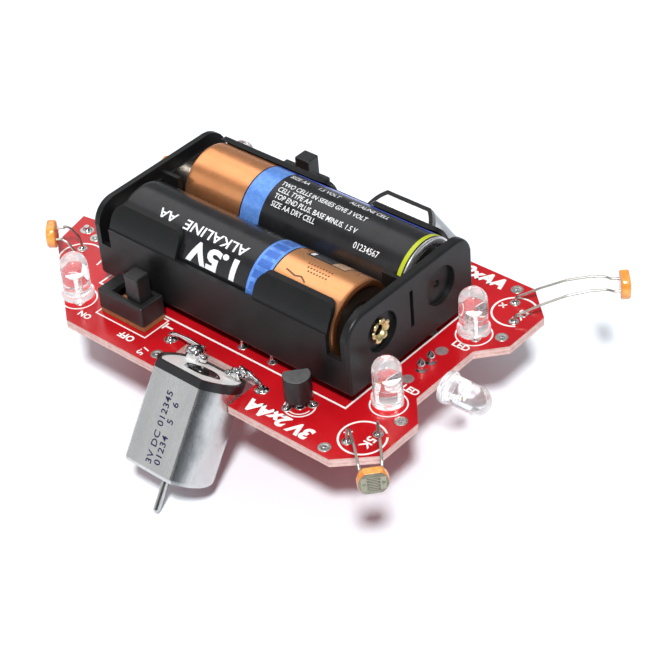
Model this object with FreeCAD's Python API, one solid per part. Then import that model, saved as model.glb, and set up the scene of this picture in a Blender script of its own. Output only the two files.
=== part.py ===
import FreeCAD, Part
import math
import os

# Line follower robot: a small driven circuit board that stands on the bare shafts of two
# canted motors and on a bent wire skid under its tail.
# Millimetres.  X forward, Y to the robot's left, Z up.  The parts are laid out about the
# board's top face (z = 0) and are then moved as one, so that the origin is the centre of
# the footprint on the ground.

V = FreeCAD.Vector
os.makedirs("parts", exist_ok=True)

# ---------------------------------------------------------------- driving dimensions
# printed circuit board, half outline on the +Y side, from nose to tail
PCB_T = 1.6
PCB_OUTLINE = [(22.5, 0.0), (22.5, 7.4), (26.6, 12.1), (26.6, 21.7), (20.7, 27.1),
               (-1.07, 27.1), (-1.07, 19.4), (-17.8, 19.4), (-17.8, 27.1),
               (-39.6, 27.1), (-58.2, 12.0), (-60.2, 3.5), (-57.6, 3.1), (-57.6, 0.0)]
SPARE_HOLES = [(18.25, 25.27), (24.04, 13.26), (-20.07, 24.41), (-53.2, 7.07)]
SPARE_HOLE_R = 0.5
LEAD_CLEAR = 0.12               # board hole radius over lead radius
LEAD_END = -2.9                 # where cut leads end under the board

# battery holder for two AA cells side by side
HOLD_X0, HOLD_X1 = -41.8, 16.1
HOLD_HALF_W = 15.95
HOLD_Z0 = 2.3
END_WALL_T = 1.5
END_WALL_TOP = 17.1
END_CORNER_R = 4.4
EDGE_R = 0.6                    # soft outer edges of the moulding
SIDE_LOW_TOP = 13.4
TAB_TOP = 17.4
BAY_R = 7.45
CELL_Y = 7.74
CELL_Z = 11.1
TAB_OUTER_R = 8.2
TABS_RIGHT = [(-38.1, -22.3), (-4.7, 11.5)]
TAB_CORNER_R = 1.8
TABS_LEFT = [(-38.1, -13.0), (-3.3, 11.5)]
RECESS_R = 3.65
RECESS_D = 0.9

# AA cell
CELL_R = 7.2
CELL_BODY = 49.0
NUB_R = 2.7
CELL_LEFT_X = 13.3              # negative end of the left cell
NUB_L = 1.4

# motor: round can with two flats, axis canted in the YZ plane
MOTOR_X = -8.9
MOTOR_TILT = 34.2               # shaft below and outboard, degrees from vertical
MOTOR_O = V(MOTOR_X, -25.55, 1.15)   # centre of the can's rear face, right hand motor
CAN_R, CAN_FLAT = 7.65, 5.8
CAN_L = 16.9
CAN_WALL = 0.5
CAP_L = 1.45
SHAFT_R = 0.6
SHAFT_IN_R = 0.8                                 # the shaft steps down to SHAFT_R just outside the front bush
SHAFT_OUT = 7.5
GROOVE_L = 0.3
BUSH_CLEAR = 0.03
NOSE_R, NOSE_L = 2.3, 0.7

# slide switch
SW_X0, SW_X1 = -36.5, -25.7
SW_Y0, SW_Y1 = -21.8, -16.4
SW_BASE_Z0, SW_BASE_Z1, SW_TOP = 0.1, 1.25, 5.1
SW_LEFT_OUT = 5.5               # the left switch stands this much further from the middle than the right one
LEVER_X, LEVER_Y = -28.75, -19.1
LEVER_LX, LEVER_LY = 3.3, 3.0
LEVER_TOP = 10.0
LEVER_TRAVEL = 3.0              # towards the tail

# lamps, light sensors, transistors, resistors
LED_R, LED_FLANGE_R, LED_L = 2.5, 2.9, 8.7
LED_BASE_Z = 0.9
LED_FRONT = (19.8, -11.2)
LED_REAR = (-42.35, -21.4)
NOSE_LED_X, NOSE_LED_Z = 22.75, -2.35
LDR_R, LDR_HALF, LDR_T = 2.55, 2.15, 1.7
RES_R, RES_L = 1.05, 5.6

# wire skid under the tail
SKID_R = 0.5
SKID_X = -56.3
SKID_HALF = 6.3

TILT = math.radians(MOTOR_TILT)
AX = V(0, -math.sin(TILT), -math.cos(TILT))      # right hand motor's shaft direction
TIP = MOTOR_O + AX * (CAN_L + SHAFT_OUT)
GROUND = TIP.z - SHAFT_R * 1.0                   # spherical shaft end stands on the ground


# ---------------------------------------------------------------- helpers
def box(x0, x1, y0, y1, z0, z1):
    return Part.makeBox(x1 - x0, y1 - y0, z1 - z0, V(x0, y0, z0))


def cyl(r, h, p=V(0, 0, 0), d=V(0, 0, 1)):
    return Part.makeCylinder(r, h, p, d)


def prism(points, z0, z1):
    w = Part.makePolygon([V(x, y, z0) for x, y in points] + [V(points[0][0], points[0][1], z0)])
    return Part.Face(w).extrude(V(0, 0, z1 - z0))


def tube(points, r, bend=1.0):
    """Round wire along a path of straight runs joined by tangent arcs."""
    pts = [V(*p) for p in points]
    edges, start = [], pts[0]
    for i in range(1, len(pts) - 1):
        a, b, c = pts[i - 1], pts[i], pts[i + 1]
        u, w = (a - b).normalize(), (c - b).normalize()
        half = math.acos(max(-1.0, min(1.0, u.dot(w)))) / 2.0
        room = 0.48 * min((a - b).Length, (c - b).Length)
        cut = min(bend / math.tan(half), room)
        rad = cut * math.tan(half)
        p, q = b + u * cut, b + w * cut
        m = (u + w).normalize()
        centre = b + m * (rad / math.sin(half))
        mid = centre - m * rad
        if (p - start).Length > 1e-6:
            edges.append(Part.LineSegment(start, p).toShape())
        edges.append(Part.Arc(p, mid, q).toShape())
        start = q
    edges.append(Part.LineSegment(start, pts[-1]).toShape())
    path = Part.Wire(edges)
    d = (pts[1] - pts[0]).normalize()
    ring = Part.Wire([Part.Circle(pts[0], d, r).toShape()])
    return path.makePipeShell([ring], True, False)


def mirror(s):
    return s.mirror(V(0, 0, 0), V(0, 1, 0))


def fuse(items):
    s = items[0]
    if len(items) > 1:
        s = s.multiFuse(items[1:]).removeSplitter()
    return s


def group(items):
    return Part.makeCompound(items)


def motor_place(s):
    """From the motor's own frame (z along the shaft, y out of the outer flat) to the board's."""
    y = V(0, -math.cos(TILT), math.sin(TILT))
    x = V(1, 0, 0)
    m = FreeCAD.Matrix(x.x, y.x, AX.x, MOTOR_O.x,
                       x.y, y.y, AX.y, MOTOR_O.y,
                       x.z, y.z, AX.z, MOTOR_O.z,
                       0, 0, 0, 1)
    t = s.copy()
    t.Placement = FreeCAD.Placement(m).multiply(t.Placement)
    return t


def motor_point(x, y, z):
    yy = V(0, -math.cos(TILT), math.sin(TILT))
    return MOTOR_O + V(1, 0, 0) * x + yy * y + AX * z


nodes = {}


def put(name, shape):
    nodes[name] = shape


def pair(right_name, left_name, shape):
    put(right_name, shape)
    put(left_name, mirror(shape))


# ---------------------------------------------------------------- leads through the board
lead_holes = []      # (x, y, lead radius) of every lead that passes through the board
solder_low = []      # joints on the board's underside
solder_top = []      # joints on its top face


def through(x, y, r, low=True, top=False):
    lead_holes.append((x, y, r))
    if low:
        solder_low.append((x, y, r))
    if top:
        solder_top.append((x, y, r))


# ---------------------------------------------------------------- battery holder
hx = HOLD_X1 - HOLD_X0
tray = box(HOLD_X0, HOLD_X1, -HOLD_HALF_W, HOLD_HALF_W, HOLD_Z0, SIDE_LOW_TOP)
low_edges = [e for e in tray.Edges
             if abs(abs(e.CenterOfMass.y) - HOLD_HALF_W) < 1e-6 and abs(e.CenterOfMass.z - HOLD_Z0) < 1e-6]
tray = tray.makeFillet(1.2, low_edges)
uprights = [e for e in tray.Edges if abs(e.BoundBox.ZLength) > 8 and e.BoundBox.XLength < 1e-6]
tray = tray.makeFillet(EDGE_R, uprights)
in0, in1 = HOLD_X0 + END_WALL_T, HOLD_X1 - END_WALL_T
for side in (-1, 1):
    tray = tray.cut(cyl(BAY_R, in1 - in0, V(in0, side * CELL_Y, CELL_Z), V(1, 0, 0)))
wall_in = CELL_Y + BAY_R
tray = tray.cut(box(in0, in1, -wall_in, wall_in, CELL_Z, 40))
tray = tray.cut(box(in0, in1, -3.2, 3.2, 7.0, 40))
pieces = [tray]
# end walls, with rounded upper corners
for x0 in (HOLD_X0, in1):
    w = box(x0, x0 + END_WALL_T, -HOLD_HALF_W, HOLD_HALF_W, SIDE_LOW_TOP - 1.0, END_WALL_TOP)
    corner = [e for e in w.Edges
              if abs(e.CenterOfMass.z - END_WALL_TOP) < 1e-6 and abs(abs(e.CenterOfMass.y) - HOLD_HALF_W) < 1e-6]
    w = w.makeFillet(END_CORNER_R, corner)
    outer = HOLD_X0 if x0 == HOLD_X0 else HOLD_X1
    rim = [e for e in w.Edges if e.BoundBox.XLength < 1e-6 and abs(e.CenterOfMass.x - outer) < 1e-6
           and e.CenterOfMass.z > SIDE_LOW_TOP - 0.9]
    w = w.makeFillet(EDGE_R, rim)
    pieces.append(w)
# retaining tabs that curl over the cells
for side, spans in ((-1, TABS_RIGHT), (1, TABS_LEFT)):
    for a, b in spans:
        ring = cyl(TAB_OUTER_R, b - a, V(a, side * CELL_Y, CELL_Z), V(1, 0, 0))
        ring = ring.cut(cyl(BAY_R, b - a, V(a, side * CELL_Y, CELL_Z), V(1, 0, 0)))
        y0, y1 = sorted((side * CELL_Y, side * (CELL_Y + 20)))
        keep = box(a, b, y0, y1, SIDE_LOW_TOP - 2.5, TAB_TOP)
        keep = keep.makeFillet(TAB_CORNER_R, [e for e in keep.Edges if e.BoundBox.YLength > 1
                                              and abs(e.CenterOfMass.z - TAB_TOP) < 1e-6])
        ring = ring.common(keep)
        pieces.append(ring)
# stub ribs between the cells at both ends
for a, b in ((in0 - 0.2, in0 + 4.2), (in1 - 4.2, in1 + 0.2)):
    pieces.append(box(a, b, -0.4, 0.4, 8.7, 16.0))
tray = fuse(pieces)
# clearance slots between the tabs and the end walls
for side in (-1, 1):
    for a, b in ((in0, TABS_RIGHT[0][0]), (TABS_RIGHT[1][1], in1)):
        y0, y1 = sorted((side * (CELL_Y + 6.2), side * 20))
        tray = tray.cut(box(a, b, y0, y1, 9.4, 30))
# recesses and slot in the front wall, recesses in the rear wall, holes for the rivets
for side in (-1, 1):
    tray = tray.cut(cyl(RECESS_R, RECESS_D + 1, V(HOLD_X1 - RECESS_D, side * 7.5, 10.85), V(1, 0, 0)))
    tray = tray.cut(cyl(0.95 if side < 0 else 0.7, 6, V(in1 - 1, side * 7.5, 10.85), V(1, 0, 0)))
tray = tray.cut(box(HOLD_X1 - 0.7, HOLD_X1 + 1, -0.42, 0.42, 7.1, 14.4))
# wire ways through the floor
for side in (-1, 1):
    tray = tray.cut(cyl(0.75, 6, V(in1 - 1.0, side * 7.5, 1.0)))
put("holder_tray", tray)

# contact plates: two at the front, one long link at the rear
pl = 0.3
front_plates = []
for side in (-1, 1):
    p = box(in1 - pl, in1, side * 7.5 - 4.2, side * 7.5 + 4.2, 5.6, 14.6)
    p = p.cut(cyl(0.95 if side < 0 else 0.5, 3, V(in1 - 1.5, side * 7.5, 10.85), V(1, 0, 0)))
    front_plates.append(p)
pos_boss = cyl(2.4, 0.75, V(in1 - pl - 0.75, -7.5, 10.85), V(1, 0, 0)).cut(
    cyl(1.75, 3, V(in1 - 1.8, -7.5, 10.85), V(1, 0, 0)))
front_plates[0] = fuse([front_plates[0], pos_boss])
link = fuse([box(in0, in0 + pl, -11.8, -0.6, 7.05, 14.6), box(in0, in0 + pl, 0.6, 11.8, 7.05, 14.6),
             box(in0, in0 + pl, -0.7, 0.7, 7.05, 8.5), cyl(2.4, 2.3, V(in0 + pl, 7.5, 10.85), V(1, 0, 0))])
put("contact_plates", group(front_plates))
put("series_link", link)
# coil springs, squeezed between plate and cell: turns that narrow towards the cell
springs = []
for side, x_plate, x_cell, n, wr, step in ((-1, in0 + pl, -37.65, 4, 0.33, 0.42), (1, in1 - pl, CELL_LEFT_X + 0.05, 3, 0.24, 0.8)):
    gap = abs(x_cell - x_plate)
    s = 1 if x_cell > x_plate else -1
    rings = []
    for i in range(n):
        x = x_plate + s * (wr + (gap - 2 * wr - 0.05) * i / (n - 1))
        rings.append(Part.makeTorus(3.6 - step * i, wr, V(x, side * 7.6, 10.95), V(1, 0, 0)))
        if i:
            xp = x_plate + s * (wr + (gap - 2 * wr - 0.05) * (i - 1) / (n - 1))
            rr = 3.6 - step * (i - 0.5)
            if step < 2 * wr:
                a, b = sorted((x, xp))
                rings.append(Part.makeCylinder(0.24, abs(x - xp) + 0.3, V(a - 0.15, side * 7.6, 10.95 + rr), V(1, 0, 0)))
            else:
                rings.append(Part.makeCylinder(0.2, step, V((x + xp) / 2, side * 7.6, 10.95 + rr - step / 2), V(0, 0, 1)))
    springs.append(fuse(rings))
put("contact_springs", group(springs))

# tubular rivet that holds the right hand plate, with its end burst open in the recess
x_face = HOLD_X1 - RECESS_D
rivet = fuse([cyl(0.9, x_face - in1 + pl + 0.3, V(in1 - pl - 0.3, -7.5, 10.85), V(1, 0, 0)),
              Part.makeCone(0.9, 1.75, 0.7, V(x_face, -7.5, 10.85), V(1, 0, 0)),
              cyl(1.5, 0.3, V(in1 - pl - 0.3, -7.5, 10.85), V(1, 0, 0))])
rivet = rivet.cut(cyl(0.55, 9, V(in1 - 3, -7.5, 10.85), V(1, 0, 0)))
rivet = rivet.cut(Part.makeCone(0.55, 1.5, 0.72, V(x_face, -7.5, 10.85), V(1, 0, 0)))
for k in range(5):
    c = box(x_face + 0.15, x_face + 2, 0.7, 3, -0.22, 0.22)
    c.rotate(V(0, 0, 0), V(1, 0, 0), 72 * k + 20)
    c.translate(V(0, -7.5, 10.85))
    rivet = rivet.cut(c)
put("front_rivet", rivet)

# supply wires from the front plates down through the holder's floor into the board
supply = []
for side in (-1, 1):
    x, y = in1 - 0.95, side * 7.5
    supply.append(cyl(0.35, 5.4 - LEAD_END, V(x, y, LEAD_END)))
    through(x, y, 0.35)
put("supply_wires", group(supply))

# foam pads under the holder
foam = [box(-36.0, -24.0, -11.0, 11.0, 0.0, HOLD_Z0), box(1.5, 11.5, -11.0, 11.0, 0.0, HOLD_Z0)]
put("foam_pads", group(foam))


# ---------------------------------------------------------------- cells
def cell(y, x_neg, direction):
    d = V(direction, 0, 0)
    body = cyl(CELL_R, CELL_BODY, V(x_neg, y, CELL_Z), d)
    body = body.makeFillet(0.6, [e for e in body.Edges if len(e.Vertexes) == 1])
    nub = cyl(NUB_R, NUB_L + 0.5, V(x_neg, y, CELL_Z) + d * (CELL_BODY - 0.5), d)
    nub = nub.makeFillet(0.4, [e for e in nub.Edges
                               if len(e.Vertexes) == 1 and abs(e.CenterOfMass.x - (x_neg + direction * (CELL_BODY + NUB_L))) < 1e-6])
    s = fuse([body, nub])
    ring = cyl(5.6, 0.25, V(x_neg, y, CELL_Z) + d * (CELL_BODY - 0.25), d).cut(
        cyl(NUB_R + 0.5, 2, V(x_neg, y, CELL_Z) + d * (CELL_BODY - 1), d))
    return s.cut(ring)


put("cell_right", cell(-CELL_Y, -37.6, 1))
put("cell_left", cell(CELL_Y, CELL_LEFT_X, -1))


# ---------------------------------------------------------------- motors
def flat_round(r, flat, z0, z1):
    return cyl(r, z1 - z0, V(0, 0, z0)).common(box(-r - 1, r + 1, -flat, flat, z0, z1))


can = flat_round(CAN_R, CAN_FLAT, 0, CAN_L)
nose_edges = [e for e in can.Edges if abs(e.CenterOfMass.z - CAN_L) < 1e-6]
can = can.makeFillet(0.9, nose_edges)
can = can.cut(flat_round(CAN_R - CAN_WALL, CAN_FLAT - CAN_WALL, -1, CAN_L - CAN_WALL))
can = fuse([can, cyl(NOSE_R, NOSE_L + CAN_WALL, V(0, 0, CAN_L - CAN_WALL))])
BUSH_R = 1.5
can = can.cut(cyl(BUSH_R, 4, V(0, 0, CAN_L - 2)))
pair("motor_right_can", "motor_left_can", motor_place(can))

cap = fuse([flat_round(CAN_R, CAN_FLAT, -CAP_L, 0),
            flat_round(CAN_R - CAN_WALL - 0.02, CAN_FLAT - CAN_WALL - 0.02, -0.2, 1.6)])
cap = cap.cut(flat_round(CAN_R - 0.75, CAN_FLAT - 0.7, -CAP_L - 1, -CAP_L + 0.75))
cap = cap.cut(flat_round(5.9, 4.3, 0.2, 3))
plate = flat_round(CAN_R - 0.77, CAN_FLAT - 0.72, -CAP_L + 0.2, -CAP_L + 0.75)
plate = plate.cut(fuse([cyl(2.1, 3, V(0.9, 0.2, -3)), cyl(2.1, 3, V(-0.9, 0.2, -3)),
                        box(-0.9, 0.9, -1.9, 2.3, -3, 0)]))
cap = fuse([cap, cyl(1.95, 1.05, V(0, 0, -CAP_L + 0.75))])
cap = cap.cut(cyl(BUSH_R, 8, V(0, 0, -4)))
for sx in (-1, 1):                                   # slots for the terminals
    slot = box(sx * 4.2 - 0.75, sx * 4.2 + 0.75, -3.6, -3.05, -4, 4)
    cap = cap.cut(slot)
    plate = plate.cut(slot)
pair("motor_right_end_cap", "motor_left_end_cap", motor_place(cap))
pair("motor_right_cap_plate", "motor_left_cap_plate", motor_place(plate))

bush_low = cyl(BUSH_R, 2.0, V(0, 0, CAN_L + NOSE_L - 2.0)).cut(cyl(SHAFT_IN_R + BUSH_CLEAR, 8, V(0, 0, CAN_L - 4)))
bush_top = cyl(BUSH_R, 1.7, V(0, 0, -CAP_L + 0.4)).cut(cyl(SHAFT_IN_R + BUSH_CLEAR, 8, V(0, 0, -4)))
pair("motor_right_bushes", "motor_left_bushes", motor_place(group([bush_low, bush_top])))

mag = cyl(CAN_R - CAN_WALL - 0.02, 11.0, V(0, 0, 3.6)).cut(cyl(5.35, 12, V(0, 0, 3)))
mags = [mag.common(box(2.0, 9, -4.6, 4.6, 3, 16)), mag.common(box(-9, -2.0, -4.6, 4.6, 3, 16))]
pair("motor_right_magnets", "motor_left_magnets", motor_place(group(mags)))

terms = []
for sx in (-1, 1):
    blade = box(sx * 4.2 - 0.7, sx * 4.2 + 0.7, -3.55, -3.1, -CAP_L - 1.1, 1.9)
    foot = box(sx * 4.2 - 0.7, sx * 4.2 + 0.7, -5.2, -3.1, -CAP_L - 1.5, -CAP_L - 1.1)
    terms.append(fuse([blade, foot]))
pair("motor_right_terminals", "motor_left_terminals", motor_place(group(terms)))

brushes = []
for sx in (-1, 1):                                   # spring leaves that wipe the commutator
    leaf = box(sx * 4.2 - 0.7, sx * 4.2 + 0.7, -3.5, -3.1, 1.9, 2.9)
    arm = box(min(sx * 2.05, sx * 4.9), max(sx * 2.05, sx * 4.9), -3.5, -3.1, 2.1, 2.9)
    finger = box(min(sx * 2.05, sx * 2.35), max(sx * 2.05, sx * 2.35), -3.5, 1.3, 2.1, 2.9)
    brushes.append(fuse([leaf, arm, finger]))
pair("motor_right_brushes", "motor_left_brushes", motor_place(group(brushes)))

core = cyl(4.95, 9.0, V(0, 0, 4.6))
for k in range(3):                                   # three winding slots
    a = math.radians(120 * k + 60)
    core = core.cut(fuse([cyl(1.75, 12, V(3.1 * math.cos(a), 3.1 * math.sin(a), 3)),
                          cyl(0.4, 12, V(4.75 * math.cos(a), 4.75 * math.sin(a), 3))]))
core = core.cut(cyl(SHAFT_IN_R, 20, V(0, 0, 0)))
coils = []
for k in range(3):
    a = math.radians(120 * k + 60)
    coils.append(cyl(1.7, 9.6, V(3.1 * math.cos(a), 3.1 * math.sin(a), 4.3)))
pair("motor_right_armature", "motor_left_armature", motor_place(core))
pair("motor_right_windings", "motor_left_windings", motor_place(group(coils)))
comm = cyl(1.95, 2.4, V(0, 0, 1.6)).cut(cyl(SHAFT_IN_R, 20, V(0, 0, 0)))
pair("motor_right_commutator", "motor_left_commutator", motor_place(comm))

STEP_Z = CAN_L + NOSE_L + 0.15 + GROOVE_L
shaft = cyl(SHAFT_IN_R, STEP_Z + CAP_L - 0.3, V(0, 0, -CAP_L + 0.3))
shaft = fuse([shaft, cyl(SHAFT_R, CAN_L + SHAFT_OUT - SHAFT_R - STEP_Z + 0.1, V(0, 0, STEP_Z - 0.1)),
              Part.makeSphere(SHAFT_R, V(0, 0, CAN_L + SHAFT_OUT - SHAFT_R))])
pair("motor_right_shaft", "motor_left_shaft", motor_place(shaft))

# stiff tinned wires from the terminals to the board
wires = []
for sx, px, py in ((-1, -21.0, -20.1), (1, 0.73, -20.8)):
    a = motor_point(sx * 4.2, -4.3, -CAP_L - 1.5 - 0.42)
    b = motor_point(sx * 5.4, -4.6, -CAP_L - 1.5 - 0.42)
    wires.append(tube([(a.x - sx * 0.6, a.y, a.z), (b.x, b.y, b.z), (px, py, 1.7), (px, py, LEAD_END)], 0.4, 1.1))
    through(px, py, 0.4, True, True)
pair("motor_right_wires", "motor_left_wires", group(wires))
for x, y, r in list(lead_holes):
    if (x, y) in ((-21.0, -20.1), (0.73, -20.8)):
        through(x, -y, r, True, True)


# ---------------------------------------------------------------- slide switches
def switch_pair(right_name, left_name, shape):
    other = mirror(shape)
    other.translate(V(0, SW_LEFT_OUT, 0))
    put(right_name, shape)
    put(left_name, other)


cx, cy = (SW_X0 + SW_X1) / 2, (SW_Y0 + SW_Y1) / 2
base = box(SW_X0 + 0.15, SW_X1 - 0.15, SW_Y0 + 0.15, SW_Y1 - 0.15, SW_BASE_Z0, SW_BASE_Z1)
pins, pin_pts = [], [(cx - 2.5, cy), (cx, cy), (cx + 2.5, cy)]
for x, y in pin_pts:
    pins.append(box(x - 0.35, x + 0.35, y - 0.2, y + 0.2, LEAD_END, SW_BASE_Z1 + 0.45))
    base = base.cut(box(x - 0.35, x + 0.35, y - 0.2, y + 0.2, 0, 3))
    through(x, y, 0.42)
    through(x, -y + SW_LEFT_OUT, 0.42)
switch_pair("switch_right_base", "switch_left_base", base)
switch_pair("switch_right_pins", "switch_left_pins", group(pins))
case = box(SW_X0, SW_X1, SW_Y0, SW_Y1, SW_BASE_Z1, SW_TOP)
case = case.makeFillet(0.35, [e for e in case.Edges if abs(e.CenterOfMass.z - SW_BASE_Z1) > 0.1])
case = case.cut(box(SW_X0 + 0.6, SW_X1 - 0.6, SW_Y0 + 0.6, SW_Y1 - 0.6, 0, SW_TOP - 0.9))
s0 = LEVER_X - LEVER_LX / 2 - LEVER_TRAVEL - 0.35
s1 = LEVER_X + LEVER_LX / 2 + 0.35
case = case.cut(box(s0, s1, LEVER_Y - LEVER_LY / 2 - 0.2, LEVER_Y + LEVER_LY / 2 + 0.2, 2, 8))
switch_pair("switch_right_case", "switch_left_case", case)
post = box(LEVER_X - LEVER_LX / 2, LEVER_X + LEVER_LX / 2, LEVER_Y - LEVER_LY / 2, LEVER_Y + LEVER_LY / 2,
           SW_TOP - 1.4, LEVER_TOP)
post = post.makeFillet(0.3, [e for e in post.Edges if e.CenterOfMass.z > SW_TOP])
shoe = box(max(SW_X0 + 0.6 + LEVER_TRAVEL + 0.2, LEVER_X - 2.3), min(SW_X1 - 0.75, LEVER_X + 2.3),
           SW_Y0 + 0.8, SW_Y1 - 0.8, 2.1, SW_TOP - 1.1)
switch_pair("switch_right_lever", "switch_left_lever", fuse([post, shoe]))
wiper = box(LEVER_X - 1.9, LEVER_X + 1.9, cy - 1.0, cy + 1.0, 1.75, 2.1)
switch_pair("switch_right_wiper", "switch_left_wiper", wiper)


# ---------------------------------------------------------------- lamps
def led(flat=True):
    """5 mm lamp standing on z = 0 with its dome up."""
    b = fuse([cyl(LED_FLANGE_R, 1.0), cyl(LED_R, LED_L - LED_R), Part.makeSphere(LED_R, V(0, 0, LED_L - LED_R))])
    return b.cut(box(2.5, 4, -4, 4, -1, 0.9999))


def at(s, x, y, z, turn=0):
    t = s.copy()
    t.Placement = FreeCAD.Placement(V(x, y, z), FreeCAD.Rotation(V(0, 0, 1), turn)).multiply(t.Placement)
    return t


lens = led()
front_r = at(lens, LED_FRONT[0], LED_FRONT[1], LED_BASE_Z, 40)
rear_r = at(lens, LED_REAR[0], LED_REAR[1], LED_BASE_Z, 140)
put("lamps_front", group([front_r, mirror(front_r)]))
put("lamps_rear", group([rear_r, mirror(rear_r)]))
nose = lens.copy()
nose.Placement = FreeCAD.Placement(V(NOSE_LED_X, 0, NOSE_LED_Z), FreeCAD.Rotation(V(0, 1, 0), 90)).multiply(nose.Placement)
put("lamp_nose", nose)
lamp_leads = []
for (x, y), turn in ((LED_FRONT, 40), (LED_REAR, 140)):
    a = math.radians(turn)
    for k in (-1.27, 1.27):
        for side in (1, -1):
            lx, ly = x + k * math.cos(a), side * (y + k * math.sin(a))
            lamp_leads.append(cyl(0.28, LED_BASE_Z - LEAD_END, V(lx, ly, LEAD_END)))
            through(lx, ly, 0.28)
for side in (-1, 1):
    y = side * 1.27
    lamp_leads.append(tube([(NOSE_LED_X, y, NOSE_LED_Z), (18.5, y, NOSE_LED_Z), (18.5, y, 2.0)], 0.28, 0.8))
    through(18.5, y, 0.28, False, True)
put("lamp_leads", group(lamp_leads))


# ---------------------------------------------------------------- light sensors
def ldr(centre, n):
    """Ceramic disc with two flats; n is the direction that its face looks in (level)."""
    n = V(*n).normalize()
    side = V(-n.y, n.x, 0)
    c = V(*centre)
    d = cyl(LDR_R, LDR_T, V(0, 0, -LDR_T / 2)).common(box(-4, 4, -LDR_HALF, LDR_HALF, -3, 3))
    d = d.makeFillet(0.25, [e for e in d.Edges if abs(abs(e.CenterOfMass.z) - LDR_T / 2) < 1e-6])
    m = FreeCAD.Matrix(side.x, 0, n.x, c.x, side.y, 0, n.y, c.y, side.z, 1, n.z, c.z, 0, 0, 0, 1)
    if (V(side.x, side.y, side.z).cross(V(0, 0, 1))).dot(n) < 0:
        m = FreeCAD.Matrix(-side.x, 0, n.x, c.x, -side.y, 0, n.y, c.y, -side.z, 1, n.z, c.z, 0, 0, 0, 1)
    d.Placement = FreeCAD.Placement(m)
    return d, c, n, side


ldr_leads = []
LDRS = {
    "sensor_front_left": ((35.6, 32.2, 4.5), (0.75, 0.66, 0), ((20.2, 22.1), (23.1, 17.8)),
                          ((0.1, 1.8), (0.25, 3.0), (0.5, 4.5), (0.72, 5.1), (0.88, 5.0))),
    "sensor_front_right": ((33.5, -31.0, 5.6), (0.75, -0.66, 0), ((20.2, -22.1), (23.1, -17.8)),
                           ((0.12, 4.2), (0.32, 6.6), (0.62, 7.4), (0.84, 6.6))),
    "sensor_rear_right": ((-54.9, -15.3, 5.0), (-0.75, -0.66, 0), ((-49.4, -14.75), (-52.8, -10.85)),
                          ((0.05, 2.7), (0.42, 4.9), (0.72, 5.3))),
    "sensor_rear_left": ((-56.3, 16.6, 1.6), (-0.75, 0.66, 0), ((-49.4, 14.75), (-52.8, 10.85)),
                         ((0.05, 2.6), (0.42, 3.3), (0.75, 2.4))),
}
for name, (c, n, pads, ups) in LDRS.items():
    disc, cc, nn, side = ldr(c, n)
    put(name, disc)
    pm = V((pads[0][0] + pads[1][0]) / 2, (pads[0][1] + pads[1][1]) / 2, 0)
    for p in pads:
        s = 1 if (V(p[0], p[1], 0) - pm).dot(side) > 0 else -1
        e = cc - nn * (LDR_T / 2) + side * (s * 1.72)
        q = V(p[0], p[1], 0)
        pts = [(q.x, q.y, LEAD_END), ]
        for f, z in ups:
            pts.append((q.x + (e.x - q.x) * f, q.y + (e.y - q.y) * f, z))
        pre = e - nn * 1.3
        pts.append((pre.x, pre.y, pre.z))
        pts.append((e.x, e.y, e.z))
        pts.insert(1, (q.x, q.y, 1.2))
        ldr_leads.append(tube(pts, 0.22, 1.6))
        through(p[0], p[1], 0.22)
put("sensor_leads", group(ldr_leads))

# ---------------------------------------------------------------- transistors
TR_PADS = [(9.93, -18.56), (7.09, -21.73)]
tdir = V(TR_PADS[0][0] - TR_PADS[1][0], TR_PADS[0][1] - TR_PADS[1][1], 0).normalize()
tmid = V((TR_PADS[0][0] + TR_PADS[1][0]) / 2, (TR_PADS[0][1] + TR_PADS[1][1]) / 2, 0)
tang = math.degrees(math.atan2(tdir.y, tdir.x))
TR_Z0, TR_H = 1.7, 4.6
tbody = cyl(2.35, TR_H).common(box(-4, 4, -4, 1.25, -1, 10))
tbody = tbody.makeFillet(0.2, [e for e in tbody.Edges if abs(e.CenterOfMass.z - TR_H) < 1e-6])
tshape = tbody.copy()
tshape.Placement = FreeCAD.Placement(V(tmid.x - 0.45, tmid.y + 0.35, TR_Z0), FreeCAD.Rotation(V(0, 0, 1), tang))
put("transistors", group([tshape, mirror(tshape)]))
tlegs = []
for k in (-1, 0, 1):
    foot = tmid + tdir * (k * 2.13)
    head = V(tmid.x - 0.45, tmid.y + 0.35, 0) + tdir * (k * 1.27)
    pts = [(foot.x, foot.y, LEAD_END), (foot.x, foot.y, 0.35), (head.x, head.y, 1.2), (head.x, head.y, TR_Z0)]
    leg = tube(pts, 0.22, 0.35)
    tlegs.append(leg)
    tlegs.append(mirror(leg))
    through(foot.x, foot.y, 0.22)
    through(foot.x, -foot.y, 0.22)
put("transistor_legs", group(tlegs))

# ---------------------------------------------------------------- resistors under the holder
rbodies, rleads = [], []
for x in (-2.8, -9.6):
    for side in (-1, 1):
        yc = side * 9.4
        mid = cyl(RES_R - 0.17, RES_L, V(x, yc - RES_L / 2, 1.12), V(0, 1, 0))
        e1 = cyl(RES_R, 1.3, V(x, yc - RES_L / 2, 1.12), V(0, 1, 0))
        e2 = cyl(RES_R, 1.3, V(x, yc + RES_L / 2 - 1.3, 1.12), V(0, 1, 0))
        rbodies.append(fuse([mid, e1, e2]))
        for end in (-1, 1):
            y0 = yc + end * RES_L / 2
            y1 = yc + end * 4.9
            rleads.append(tube([(x, y0, 1.12), (x, y1, 1.12), (x, y1, LEAD_END)], 0.27, 0.7))
            through(x, y1, 0.27)
put("resistors", group(rbodies))
put("resistor_leads", group(rleads))

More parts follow.
